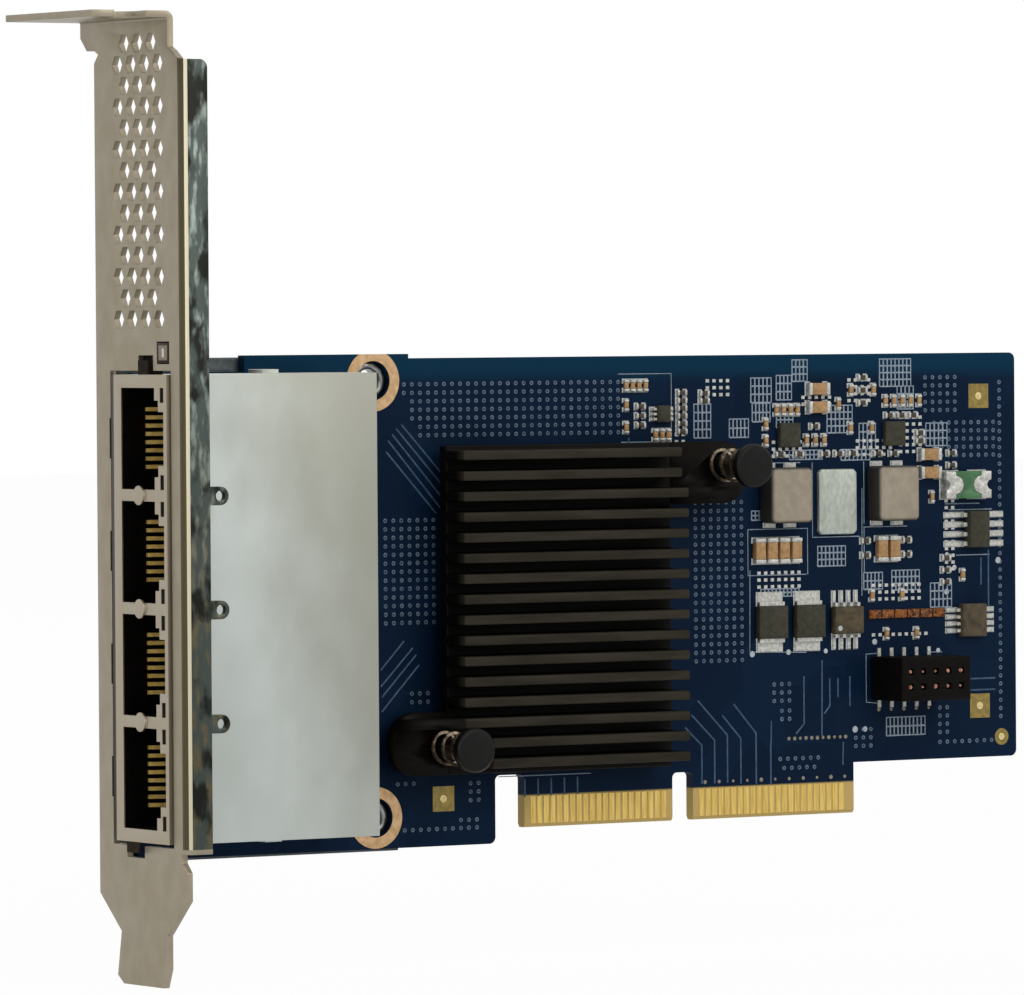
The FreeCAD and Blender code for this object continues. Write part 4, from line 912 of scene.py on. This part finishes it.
@dataclass
class Datum:
    """Where the card's own measure lies in the model.

    Points are given in millimetres: across from the bracket's outer face, and up from
    the lower edge of the contacts.
    """

    board_inset: float = 3.0
    apron_drop: float = 1.9

    def __post_init__(self) -> None:
        """Read the board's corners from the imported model."""
        low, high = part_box("circuit_board")
        self.left = low.x - self.board_inset * MM
        self.base = low.z + self.apron_drop * MM
        self.front, self.back = low.y, high.y

    def spot(self, across: float, up: float) -> Vector:
        """A point in the plane of zero depth."""
        return Vector((self.left + across * MM, 0.0, self.base + up * MM))

    def measure(self, point: Vector) -> Spot:
        """A point of the model in the card's own measure."""
        return ((point.x - self.left) / MM, (point.z - self.base) / MM)

    def points(self, spots: Iterable[Spot]) -> bpy.types.Mesh:
        """A mesh of loose points."""
        mesh = bpy.data.meshes.new("points")
        mesh.from_pydata([self.spot(*spot) for spot in spots], [], [])
        return mesh

    def lines(self, chains: Iterable[Iterable[Spot]]) -> bpy.types.Mesh:
        """A mesh of open chains of edges."""
        corners: list[Vector] = []
        edges: list[tuple[int, int]] = []
        for chain in chains:
            first = len(corners)
            corners.extend(self.spot(*spot) for spot in chain)
            edges.extend((index, index + 1) for index in range(first, len(corners) - 1))
        mesh = bpy.data.meshes.new("lines")
        mesh.from_pydata(corners, edges, [])
        return mesh


CROSS_PITCHES = 1.6


@dataclass(frozen=True)
class Patch:
    """A rectangle of the board: its lower left corner, width and height."""

    across: float
    up: float
    wide: float
    tall: float

    def grid(self, pitch: float, rise: float = 0.0) -> Iterator[Spot]:
        """Evenly spaced spots over the patch, with an own pitch upwards if one is given."""
        step = rise or pitch
        for row in range(int(self.tall / step + 0.01) + 1):
            for column in range(int(self.wide / pitch + 0.01) + 1):
                yield (self.across + column * pitch, self.up + row * step)

    def border(self) -> list[Spot]:
        """The patch's outline as one closed chain."""
        right, top = self.across + self.wide, self.up + self.tall
        return [(self.across, self.up), (right, self.up), (right, top),
                (self.across, top), (self.across, self.up)]

    def hatch(self, pitch: float) -> Iterator[list[Spot]]:
        """The outline, upright strokes and wider-set cross strokes."""
        yield self.border()
        columns = max(2, round(self.wide / pitch))
        rows = max(2, round(self.tall / pitch / CROSS_PITCHES))
        for count in range(1, columns):
            across = self.across + self.wide * count / columns
            yield [(across, self.up), (across, self.up + self.tall)]
        for count in range(1, rows):
            up = self.up + self.tall * count / rows
            yield [(self.across, up), (self.across + self.wide, up)]


# ------------------------------------------------------------------ sub-assemblies
@dataclass
class Board:
    """The circuit board's surface: mask, contacts, plated holes, traces and silkscreen."""

    datum: Datum
    via_pitch: float = 1.2
    via_rise: float = 1.08
    via_radius: float = 0.21
    via_wire: float = 0.1
    track_corner: Spot = (49.0, 40.0)
    track_edge: Spot = (42.0, 56.0)
    track_slope: float = 0.35
    trace_half: float = 0.13
    silk_half: float = 0.07
    hatch_half: float = 0.12
    hatch_pitch: float = 0.62
    bare_pitch: Span = (1.05, 0.9)
    bare_size: Span = (0.52, 0.42)
    contact_dot_pitch: float = 2.2
    test_pitch: float = 0.9
    socket_pad_pitch: float = 2.0
    test_radius: float = 0.24
    silk_dot_radius: float = 0.38
    mark_radius: float = 0.5
    stroke_flat: float = 0.3
    flat: float = 0.25
    fields: tuple[Patch, ...] = (
        Patch(42.2, 50.3, 32.6, 6.5), Patch(39.3, 26.6, 7.2, 13.2),
        Patch(39.3, 40.6, 0.2, 3.3), Patch(40.5, 40.6, 0.2, 2.2), Patch(41.7, 40.6, 0.2, 1.1),
        Patch(86.4, 20.5, 7.6, 20.9), Patch(124.3, 46.6, 10.2, 4.8),
        Patch(122.9, 52.6, 4.9, 4.4), Patch(98.6, 15.0, 2.5, 2.5),
        Patch(99.8, 12.6, 1.3, 1.3), Patch(111.5, 8.7, 3.0, 2.5),
        Patch(99.5, 7.4, 6.2, 0.2), Patch(100.1, 6.2, 4.9, 0.2),
        Patch(51.8, 3.8, 1.2, 2.5), Patch(41.9, 0.3, 10.9, 0.2),
        Patch(43.1, 16.5, 2.5, 1.3), Patch(134.9, 11.9, 0.2, 44.6),
        Patch(125.0, 8.8, 8.4, 0.2), Patch(125.0, 10.1, 1.3, 3.7),
        Patch(50.3, 1.3, 2.5, 0.2), Patch(40.9, 6.2, 2.5, 0.2))
    bare_places: tuple[Patch, ...] = (
        Patch(98.7, 46.9, 5.2, 1.8), Patch(112.0, 46.9, 5.4, 1.9), Patch(110.7, 54.0, 3.4, 3.0),
        Patch(118.9, 47.2, 3.4, 4.6), Patch(126.2, 31.6, 1.2, 10.6), Patch(114.4, 27.9, 8.2, 1.9),
        Patch(96.3, 29.9, 6.6, 2.4), Patch(114.4, 23.2, 8.4, 0.6), Patch(80.4, 49.0, 4.6, 0.9),
        Patch(103.4, 53.6, 4.4, 1.2), Patch(88.4, 55.0, 3.6, 2.0), Patch(106.6, 39.4, 4.4, 1.0))
    contact_dots: Patch = Patch(87.7, 4.8, 22.0, 0.4)
    test_row: Patch = Patch(100.9, 10.0, 9.1, 0.3)
    traces: tuple[tuple[Spot, ...], ...] = (
        ((39.8, 49.7), (47.6, 41.0)), ((40.4, 50.5), (47.6, 42.6)),
        ((41.0, 51.2), (47.7, 44.1)), ((41.8, 51.7), (47.7, 45.5)),
        ((39.5, 48.3), (46.9, 40.4)),
        ((38.5, 20.7), (42.0, 24.3)), ((38.5, 18.6), (43.3, 23.4)),
        ((38.7, 17.3), (43.8, 22.5)), ((38.6, 15.4), (44.2, 21.2)),
        ((93.3, 9.0), (93.3, 4.4)), ((90.4, 13.4), (93.3, 10.3), (93.3, 9.0)),
        ((95.7, 10.9), (95.7, 4.3)), ((92.2, 14.8), (95.7, 10.9)),
        ((98.1, 12.4), (98.1, 10.3), (98.0, 9.1), (98.0, 4.2)),
        ((103.3, 18.1), (103.3, 11.9), (102.0, 10.6)), ((106.2, 20.1), (106.1, 10.2)),
        ((107.4, 17.7), (107.4, 14.1), (106.5, 13.1)), ((108.7, 17.7), (108.7, 15.2)),
        ((110.6, 17.9), (110.6, 14.0)), ((109.5, 9.3), (109.4, 6.3)),
        ((84.6, 12.0), (87.2, 9.6), (87.2, 4.6)), ((85.6, 13.6), (89.2, 10.2), (89.2, 4.6)),
        ((86.6, 15.4), (91.2, 10.8), (91.2, 4.6)),
        ((128.0, 15.5), (134.0, 15.5)), ((128.0, 17.0), (134.0, 17.0)),
        ((131.8, 29.4), (131.8, 33.0)), ((133.0, 24.0), (133.0, 34.0)),
        ((76.2, 46.8), (76.2, 49.6)), ((60.0, 3.9), (60.0, 6.2)), ((62.0, 3.9), (62.0, 6.2)),
        ((64.0, 3.9), (64.0, 6.2)), ((66.0, 3.9), (66.0, 6.2)), ((68.0, 3.9), (68.0, 6.2)))
    hatched: tuple[Patch, ...] = (
        Patch(95.2, 53.9, 3.2, 3.2), Patch(99.2, 54.2, 2.4, 3.2), Patch(101.7, 56.6, 2.4, 2.8),
        Patch(95.4, 51.4, 2.8, 2.4), Patch(91.8, 49.4, 3.0, 2.4), Patch(86.3, 49.4, 2.6, 4.4),
        Patch(115.6, 55.8, 5.0, 3.6), Patch(118.4, 52.8, 2.6, 3.0), Patch(123.0, 47.9, 3.4, 3.0),
        Patch(99.2, 50.6, 2.6, 3.0), Patch(107.2, 49.8, 4.0, 3.6), Patch(112.3, 47.6, 2.6, 3.4),
        Patch(105.6, 32.4, 4.4, 2.6), Patch(116.4, 9.9, 6.2, 2.4), Patch(95.2, 38.6, 1.8, 1.2),
        Patch(112.9, 29.2, 3.0, 2.2), Patch(117.4, 29.0, 4.4, 2.6), Patch(123.6, 26.6, 3.4, 3.2),
        Patch(101.2, 46.4, 5.2, 1.2), Patch(109.4, 46.2, 4.6, 1.4), Patch(96.6, 28.6, 6.0, 1.0))
    outlines: tuple[tuple[Spot, ...], ...] = (
        ((112.7, 42.5), (112.6, 28.4)), ((94.9, 32.1), (94.8, 21.5), (103.7, 21.2)),
        ((115.4, 20.8), (113.2, 20.7), (113.2, 14.4), (115.4, 14.2)),
        ((123.5, 20.7), (125.4, 20.7)), ((94.6, 37.4), (94.6, 31.4), (103.8, 31.4)),
        ((94.6, 37.4), (104.0, 37.4), (104.0, 31.4)), ((112.9, 37.4), (119.9, 37.4)),
        ((113.0, 31.4), (113.0, 37.4)), ((126.6, 39.4), (133.6, 39.4)),
        ((127.8, 33.4), (133.2, 33.4)), ((126.0, 40.2), (131.6, 40.2)),
        ((104.8, 46.0), (104.8, 36.2), (112.3, 36.2)), ((113.0, 46.0), (113.0, 37.8)),
        ((56.0, 6.6), (70.0, 6.6)), ((75.0, 49.0), (82.8, 49.0), (82.8, 57.8), (74.6, 57.8)),
        ((96.4, 46.0), (102.9, 46.0)))
    bright_dots: tuple[Spot, ...] = (
        (95.2, 21.2), (100.9, 21.3), (106.8, 21.3), (126.3, 33.5), (134.6, 32.6),
        (127.5, 31.8), (127.9, 43.9), (114.6, 22.3), (124.8, 20.9), (111.4, 10.9),
        (113.0, 10.9), (126.2, 28.6))
    socket_pads: tuple[Patch, ...] = (Patch(115.2, 21.2, 8.0, 0.3), Patch(115.2, 13.4, 8.0, 0.3))

    def build(self) -> None:
        """Dress the board and lay everything that is printed or plated on it."""
        for node, finish in (("circuit_board", Finishes.MASK),
                             ("edge_contacts_front", Finishes.GOLD),
                             ("edge_contacts_back", Finishes.GOLD),
                             ("mounting_lands", Finishes.COPPER),
                             ("copper_marks", Finishes.MARK_COPPER)):
            dress(node, finish)
        polish("mounting_bushes", Finishes.BUSH, "steel_bush", 0.08, 1)
        self.lay_vias()
        self.lay_traces()
        self.lay_silkscreen()

    def clear_of_tracks(self, spots: Iterable[Spot]) -> list[Spot]:
        """Leave out the spots in the corner where slanting tracks cross the board."""
        (right, low), (left, top) = self.track_corner, self.track_edge
        return [(across, up) for across, up in spots
                if across >= right or up <= low
                or across - left >= (top - up) * self.track_slope]

    def lay_vias(self) -> None:
        """Plated holes in their grids, the row over the contacts and the test pads."""
        datum = self.datum
        spots = [spot for patch in self.fields
                 for spot in patch.grid(self.via_pitch, self.via_rise)]
        rings = Rings("plated_rings")
        holes = self.clear_of_tracks(spots)
        for side, face in (("front", datum.front), ("back", datum.back)):
            rings.lay(f"board_vias_{side}", "copper", Finishes.VIA, datum.points(holes),
                      face, Radius=self.via_radius * MM, Wire=self.via_wire * MM,
                      Flatness=self.flat)
        studs = Studs("round_studs")
        rows = [*self.contact_dots.grid(self.contact_dot_pitch),
                *self.test_row.grid(self.test_pitch),
                *[spot for patch in self.socket_pads
                  for spot in patch.grid(self.socket_pad_pitch)]]
        studs.lay("board_test_pads", "tin", Finishes.PAD_DULL, datum.points(rows),
                  datum.front, Radius=self.test_radius * MM, Spread=0.2, Flatness=0.12)
        studs.lay("silk_dots", "solder_mask", Finishes.SILK_BRIGHT,
                  datum.points(self.bright_dots), datum.front,
                  Radius=self.silk_dot_radius * MM, Spread=0.15, Flatness=0.06)
        wide, tall = self.bare_size
        bare = [spot for patch in self.bare_places for spot in patch.grid(*self.bare_pitch)]
        Lands("bare_lands").lay(
            "bare_pads", "tin", Finishes.TIN, datum.points(bare), datum.front,
            Width=wide * MM, Height=tall * MM, Flatness=0.08)
        marks = [datum.measure((low + high) / 2) for low, high in solids_of("copper_marks")]
        studs.lay("mark_centres", "copper", Finishes.BRASS_DOT, datum.points(marks),
                  datum.front - 0.04 * MM, Radius=self.mark_radius * MM, Spread=0.0,
                  Flatness=0.06)

    def lay_traces(self) -> None:
        """Copper tracks under the mask."""
        Strokes("track_strokes").lay(
            "board_traces", "solder_mask", Finishes.TRACE, self.datum.lines(self.traces),
            self.datum.front,
            **{"Half width": self.trace_half * MM, "Flatness": self.stroke_flat})

    def lay_silkscreen(self) -> None:
        """Outlines round parts and the hatched places of parts that aren't fitted."""
        strokes = Strokes("silk_strokes")
        hatching = [chain for patch in self.hatched for chain in patch.hatch(self.hatch_pitch)]
        for name, chains, half in (("silk_outlines", self.outlines, self.silk_half),
                                   ("silk_hatching", hatching, self.hatch_half)):
            strokes.lay(name, "solder_mask", Finishes.SILK, self.datum.lines(chains),
                        self.datum.front,
                        **{"Half width": half * MM, "Flatness": self.stroke_flat})


@dataclass
class Soldering:
    """Solder fillets and pads under the ends and leads of every mounted part."""

    datum: Datum
    margin: float = 0.16
    shoulder: float = 0.7
    top_margin: float = 0.02
    rise: float = 0.1
    cone_radius: float = 0.72
    nodes: tuple[str, ...] = (
        "large_capacitor_ends", "resistor_ends", "small_capacitor_ends", "fuse_terminals",
        "inductor_terminals", "memory_leads", "switch_leads", "driver_leads",
        "monitor_leads", "logic_leads")

    def build(self) -> None:
        """Make one low tapered pad of solder under each separate end or lead foot."""
        work = bmesh.new()
        for node in self.nodes:
            for low, high in solids_of(node):
                self.pad(work, low, high)
        adopt(finished(work, "solder_pads", Finishes.SOLDER), "solder_pads", "tin")
        self.tail_cones()

    def pad(self, work: bmesh.types.BMesh, low: Vector, high: Vector) -> None:
        """Add one closed pad, wide at the board and narrower at its top.

        Args:
            work: The mesh that is being filled.
            low: Lowest corner of the end or lead.
            high: Highest corner of the end or lead.
        """
        face = self.datum.front
        rings = []
        for margin, depth in ((self.margin, face),
                              (self.margin * self.shoulder, face - self.rise * MM / 2),
                              (self.top_margin, face - self.rise * MM)):
            grow = margin * MM
            rings.append([work.verts.new((x, depth, z)) for x, z in (
                (low.x - grow, low.z - grow), (high.x + grow, low.z - grow),
                (high.x + grow, high.z + grow), (low.x - grow, high.z + grow))])
        work.faces.new(rings[-1])
        work.faces.new(rings[0][::-1])
        for under, over in zip(rings, rings[1:]):
            for index in range(4):
                after = (index + 1) % 4
                work.faces.new((under[index], under[after], over[after], over[index]))

    def tail_cones(self) -> None:
        """Solder cones round the jack block's tails, behind the board."""
        spots = [self.datum.measure((low + high) / 2)
                 for low, high in solids_of("jack_solder_tails")]
        Studs("solder_studs").lay(
            "tail_cones", "tin", Finishes.SOLDER, self.datum.points(spots), self.datum.back,
            Radius=self.cone_radius * MM, Spread=0.08, Flatness=-0.8)


@dataclass
class Bracket:
    """The folded bracket, its arms and the light pipe above the ports."""

    edge: float = 0.1

    def build(self) -> None:
        """Round the sheared edges and dress the sheet."""
        polish("io_bracket", Finishes.BRACKET, "steel_sheet", self.edge, 2)
        polish("bracket_arms", Finishes.ARMS_IN_SHADE, "steel_sheet", self.edge, 2)
        polish("status_light_pipe", Finishes.PIPE, "clear_plastic", 0.12, 2)


@dataclass
class JackBlock:
    """The ganged jacks: shield, insulator, contact wires, lamps and grounding fingers."""

    fold: float = 0.2
    wire_more: float = 0.07
    tab_from: float = 3.635
    tab_wide: float = 4.0
    tab_inset: float = 1.6
    tab_thick: float = 0.4
    tab_root: float = 0.5
    tab_reach: float = 2.9

    def ground_tab(self) -> None:
        """A dark spring tab that rises from the can behind the notch over the ports."""
        can_low, can_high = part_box("jack_shield")
        low = Vector((can_low.x + self.tab_inset * MM, can_low.y + self.tab_from * MM,
                      can_high.z - self.tab_root * MM))
        high = low + Vector((self.tab_thick, self.tab_wide, self.tab_reach)) * MM
        work = bmesh.new()
        bmesh.ops.create_cube(work, size=1.0)
        for corner in work.verts:
            corner.co = Vector([(low + high)[axis] / 2 + corner.co[axis] * (high - low)[axis]
                                for axis in range(3)])
        adopt(finished(work, "ground_tab", Finishes.TAB_DARK), "ground_tab", "steel_sheet")

    def build(self) -> None:
        """Round the can's folds and dress what is inside it."""
        self.ground_tab()
        polish("jack_shield", Finishes.JACK_CAN, "jack_can", self.fold, 2)
        dress("ground_fingers", Finishes.FINGERS_IN_SHADOW)
        dress("jack_housing", Finishes.BLACK_PLASTIC)
        thicken("jack_contacts", Finishes.WIRE_GOLD, "gold", self.wire_more)
        dress("jack_solder_tails", Finishes.TIN)
        dress("port_lamp_lenses", Finishes.LAMP_DARK)


@dataclass
class Cooler:
    """The controller with its pad, the finned sink and the two sprung pins."""

    fin_edge: float = 0.28
    pin_edge: float = 0.25

    def build(self) -> None:
        """Round the fins and dress the stack."""
        dress("controller_package", Finishes.CHIP_BLACK)
        dress("thermal_pad", Finishes.PAD)
        polish("heat_sink", Finishes.FINS, "black_anodised", self.fin_edge, 2)
        polish("heat_sink_ears", Finishes.EAR, "black_anodised", self.fin_edge, 2)
        for place in ("lower", "upper"):
            polish(f"push_pin_{place}", Finishes.PIN, "black_plastic",
                   self.pin_edge, 2)
            dress(f"pin_spring_{place}", Finishes.SPRING)


@dataclass
class PowerStage:
    """Inductors, the low can, power packages, regulators, capacitors and the fuse."""

    block_edge: float = 0.18
    small_edge: float = 0.07

    def build(self) -> None:
        """Round and dress every part of the supply."""
        for side in ("left", "right"):
            polish(f"inductor_{side}", Finishes.FERRITE, "coil_top", self.block_edge)
        dress("inductor_terminals", Finishes.TIN)
        polish("shield_can", Finishes.CAN_PALE, "can_pale", 0.12)
        for node, finish, slot in (
                ("switch_bodies", Finishes.CHIP_OLIVE, "package_olive"),
                ("regulator_bodies", Finishes.CHIP_OLIVE, "package_olive"),
                ("large_capacitor_bodies", Finishes.CERAMIC_TAN, "ceramic_tan"),
                ("large_capacitor_ends", Finishes.TIN, "tin"),
                ("small_capacitor_bodies", Finishes.CERAMIC_TAN, "ceramic_tan"),
                ("small_capacitor_ends", Finishes.TIN, "tin"),
                ("resistor_bodies", Finishes.CERAMIC_DARK, "ceramic_dark"),
                ("resistor_ends", Finishes.TIN, "tin"),
                ("fuse_body", Finishes.FUSE_GREEN, "fuse_green"),
                ("fuse_terminals", Finishes.TIN, "tin")):
            polish(node, finish, slot, self.small_edge, 1)
        dress("switch_leads", Finishes.TIN)


@dataclass
class ControlParts:
    """Memory, driver, monitor and logic packages, the array strip and the header."""

    datum: Datum
    edge: float = 0.08
    pin_one: float = 0.36
    pin_one_inset: float = 0.75
    socket_pitch: float = 2.0
    socket_depth: float = 0.35
    socket_radius: float = 0.3

    def build(self) -> None:
        """Round and dress the packages, and mark the first pin of the driver."""
        for name, finish in (("memory", Finishes.CHIP_OLIVE), ("driver", Finishes.CHIP_BROWN),
                             ("monitor", Finishes.CHIP_BROWN), ("logic", Finishes.CHIP_OLIVE)):
            polish(f"{name}_body", finish, "package_olive", self.edge, 1)
            dress(f"{name}_leads", Finishes.TIN)
        polish("array_bodies", Finishes.ARRAY, "ceramic_dark", self.edge, 1)
        polish("header_body", Finishes.BLACK_PLASTIC, "black_plastic", 0.12, 2)
        dress("header_pins", Finishes.TIN)
        low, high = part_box("header_body")
        across, up = self.datum.measure((low + high) / 2)
        sockets = [(across + self.socket_pitch * column, up + self.socket_pitch * row)
                   for column in range(-2, 3) for row in (-0.5, 0.5)]
        Studs("socket_studs").lay(
            "header_sockets", "tin", Finishes.SOCKET_TIN, self.datum.points(sockets),
            low.y + self.socket_depth * MM, Radius=self.socket_radius * MM, Spread=0.3,
            Flatness=0.5)
        low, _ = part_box("driver_body")
        mark = [part + self.pin_one_inset for part in self.datum.measure(low)]
        Studs("pin_one_studs").lay(
            "driver_pin_mark", "solder_mask", Finishes.SILK_BRIGHT, self.datum.points([mark]),
            low.y, Radius=self.pin_one * MM, Spread=0.0, Flatness=0.04)


# ------------------------------------------------------------------ studio
WHITE = (1.0, 1.0, 1.0, 1.0)


@dataclass(frozen=True)
class Lamp:
    """A soft square lamp that points at the adapter."""

    name: str
    place: tuple[float, float, float]
    power: float
    size: float
    colour: tuple[float, float, float] = (1.0, 1.0, 1.0)

    def hang(self) -> None:
        """Add the lamp to the scene."""
        light = bpy.data.lights.new(self.name, "AREA")
        light.energy, light.size, light.color = self.power, self.size, self.colour
        lamp = placed(self.name, light)
        lamp.location = self.place
        lamp.rotation_euler = Vector(self.place).to_track_quat("Z", "Y").to_euler()


@dataclass
class Studio:
    """White surroundings, soft lamps and the camera."""

    turn: float = -0.56636055
    tilt: float = 0.0215795
    roll: float = -0.0065978
    place: tuple[float, float, float] = (-0.599462, -0.902875, 0.065275)
    lens: float = 294.57
    sensor: float = 36.0
    floor_size: float = 6.0
    floor_drop: float = 0.2
    floor_grey: float = 0.95
    floor_glow: float = 0.97
    ambient: float = 0.32
    lamps: tuple[Lamp, ...] = (
        Lamp("key_lamp", (0.15, -1.1, 0.75), 7.6, 0.9, (1.0, 0.985, 0.96)),
        Lamp("fill_lamp", (-1.1, -0.55, 0.3), 2.4, 0.8, (0.96, 0.98, 1.0)),
        Lamp("back_lamp", (0.2, 1.1, 0.8), 3.0, 0.8))

    def build(self) -> None:
        """Add the floor, the surroundings, the lamps and the camera."""
        self.lay_floor()
        self.light_world()
        for lamp in self.lamps:
            lamp.hang()
        self.set_camera()

    def lay_floor(self) -> None:
        """A pale floor under the bracket's tip, white to the camera but with a shadow."""
        half = self.floor_size / 2
        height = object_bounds()[0][2] - self.floor_drop * MM
        mesh = bpy.data.meshes.new("floor")
        mesh.from_pydata([(-half, -half, height), (half, -half, height),
                          (half, half, height), (-half, half, height)], [], [(0, 1, 2, 3)])
        floor = placed("floor", mesh)
        graph = Graph(bpy.data.materials.new("pale_floor"))
        matt = graph.node("ShaderNodeBsdfDiffuse", sockets={
            "Color": (self.floor_grey, self.floor_grey, self.floor_grey, 1)})
        glow = graph.node("ShaderNodeEmission", sockets={"Color": WHITE, "Strength": 1.0})
        seen = self.seen_directly(graph)
        both = graph.node("ShaderNodeMixShader", sockets={
            0: seen * self.floor_glow, 1: matt, 2: glow})
        graph.node("ShaderNodeOutputMaterial", sockets={"Surface": both})
        mesh.materials.append(graph.owner)
        floor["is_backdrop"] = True

    @staticmethod
    def seen_directly(graph: Graph) -> Wire:
        """Mask of the rays that show the surroundings: camera, mirrored and refracted."""
        rays = [graph.node("ShaderNodeLightPath", output=name)
                for name in ("Is Camera Ray", "Is Glossy Ray", "Is Transmission Ray")]
        total = rays[0] + rays[1] + rays[2]
        return graph.node("ShaderNodeClamp", sockets={0: total})

    def light_world(self) -> None:
        """White surroundings that light the adapter only gently."""
        graph = Graph(bpy.data.worlds.new("surroundings"))
        plain, white = [graph.node("ShaderNodeBackground", sockets={
            "Color": WHITE, "Strength": strength}) for strength in (self.ambient, 1.0)]
        both = graph.node("ShaderNodeMixShader", sockets={
            0: self.seen_directly(graph), 1: plain, 2: white})
        graph.node("ShaderNodeOutputWorld", sockets={"Surface": both})
        bpy.context.scene.world = graph.owner

    def set_camera(self) -> None:
        """Aim the camera by its turn, tilt and roll."""
        back = Vector((math.sin(self.turn) * math.cos(self.tilt),
                       -math.cos(self.turn) * math.cos(self.tilt), math.sin(self.tilt)))
        level = Vector((0, 0, 1)).cross(back).normalized()
        upright = back.cross(level)
        right = level * math.cos(self.roll) + upright * math.sin(self.roll)
        up = upright * math.cos(self.roll) - level * math.sin(self.roll)
        view = bpy.data.cameras.new("camera")
        view.lens, view.sensor_width = self.lens, self.sensor
        view.clip_start, view.clip_end = 0.05, 20.0
        camera = placed("camera", view)
        camera.matrix_world = Matrix((
            (right.x, up.x, back.x, self.place[0]), (right.y, up.y, back.y, self.place[1]),
            (right.z, up.z, back.z, self.place[2]), (0, 0, 0, 1)))
        bpy.context.scene.camera = camera
        bpy.context.scene.view_settings.view_transform = "Standard"


def corners(box: tuple) -> list[list[float]]:
    """A box's two corners as plain lists."""
    return [[float(number) for number in corner] for corner in box]


def main() -> None:
    """Build and dress every sub-assembly."""
    logging.basicConfig(level=logging.INFO, format="%(name)s: %(message)s")
    datum = Datum()
    for part in (Board(datum), Soldering(datum), Bracket(), JackBlock(), Cooler(),
                 PowerStage(), ControlParts(datum), Studio()):
        part.build()
        LOG.info("built %s", type(part).__name__)
    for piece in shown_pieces():
        LOG.info("piece %s", piece.name)
    {"cad": corners(CAD_BOX), "scene": corners(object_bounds())}


if __name__ == "__main__":
    main()
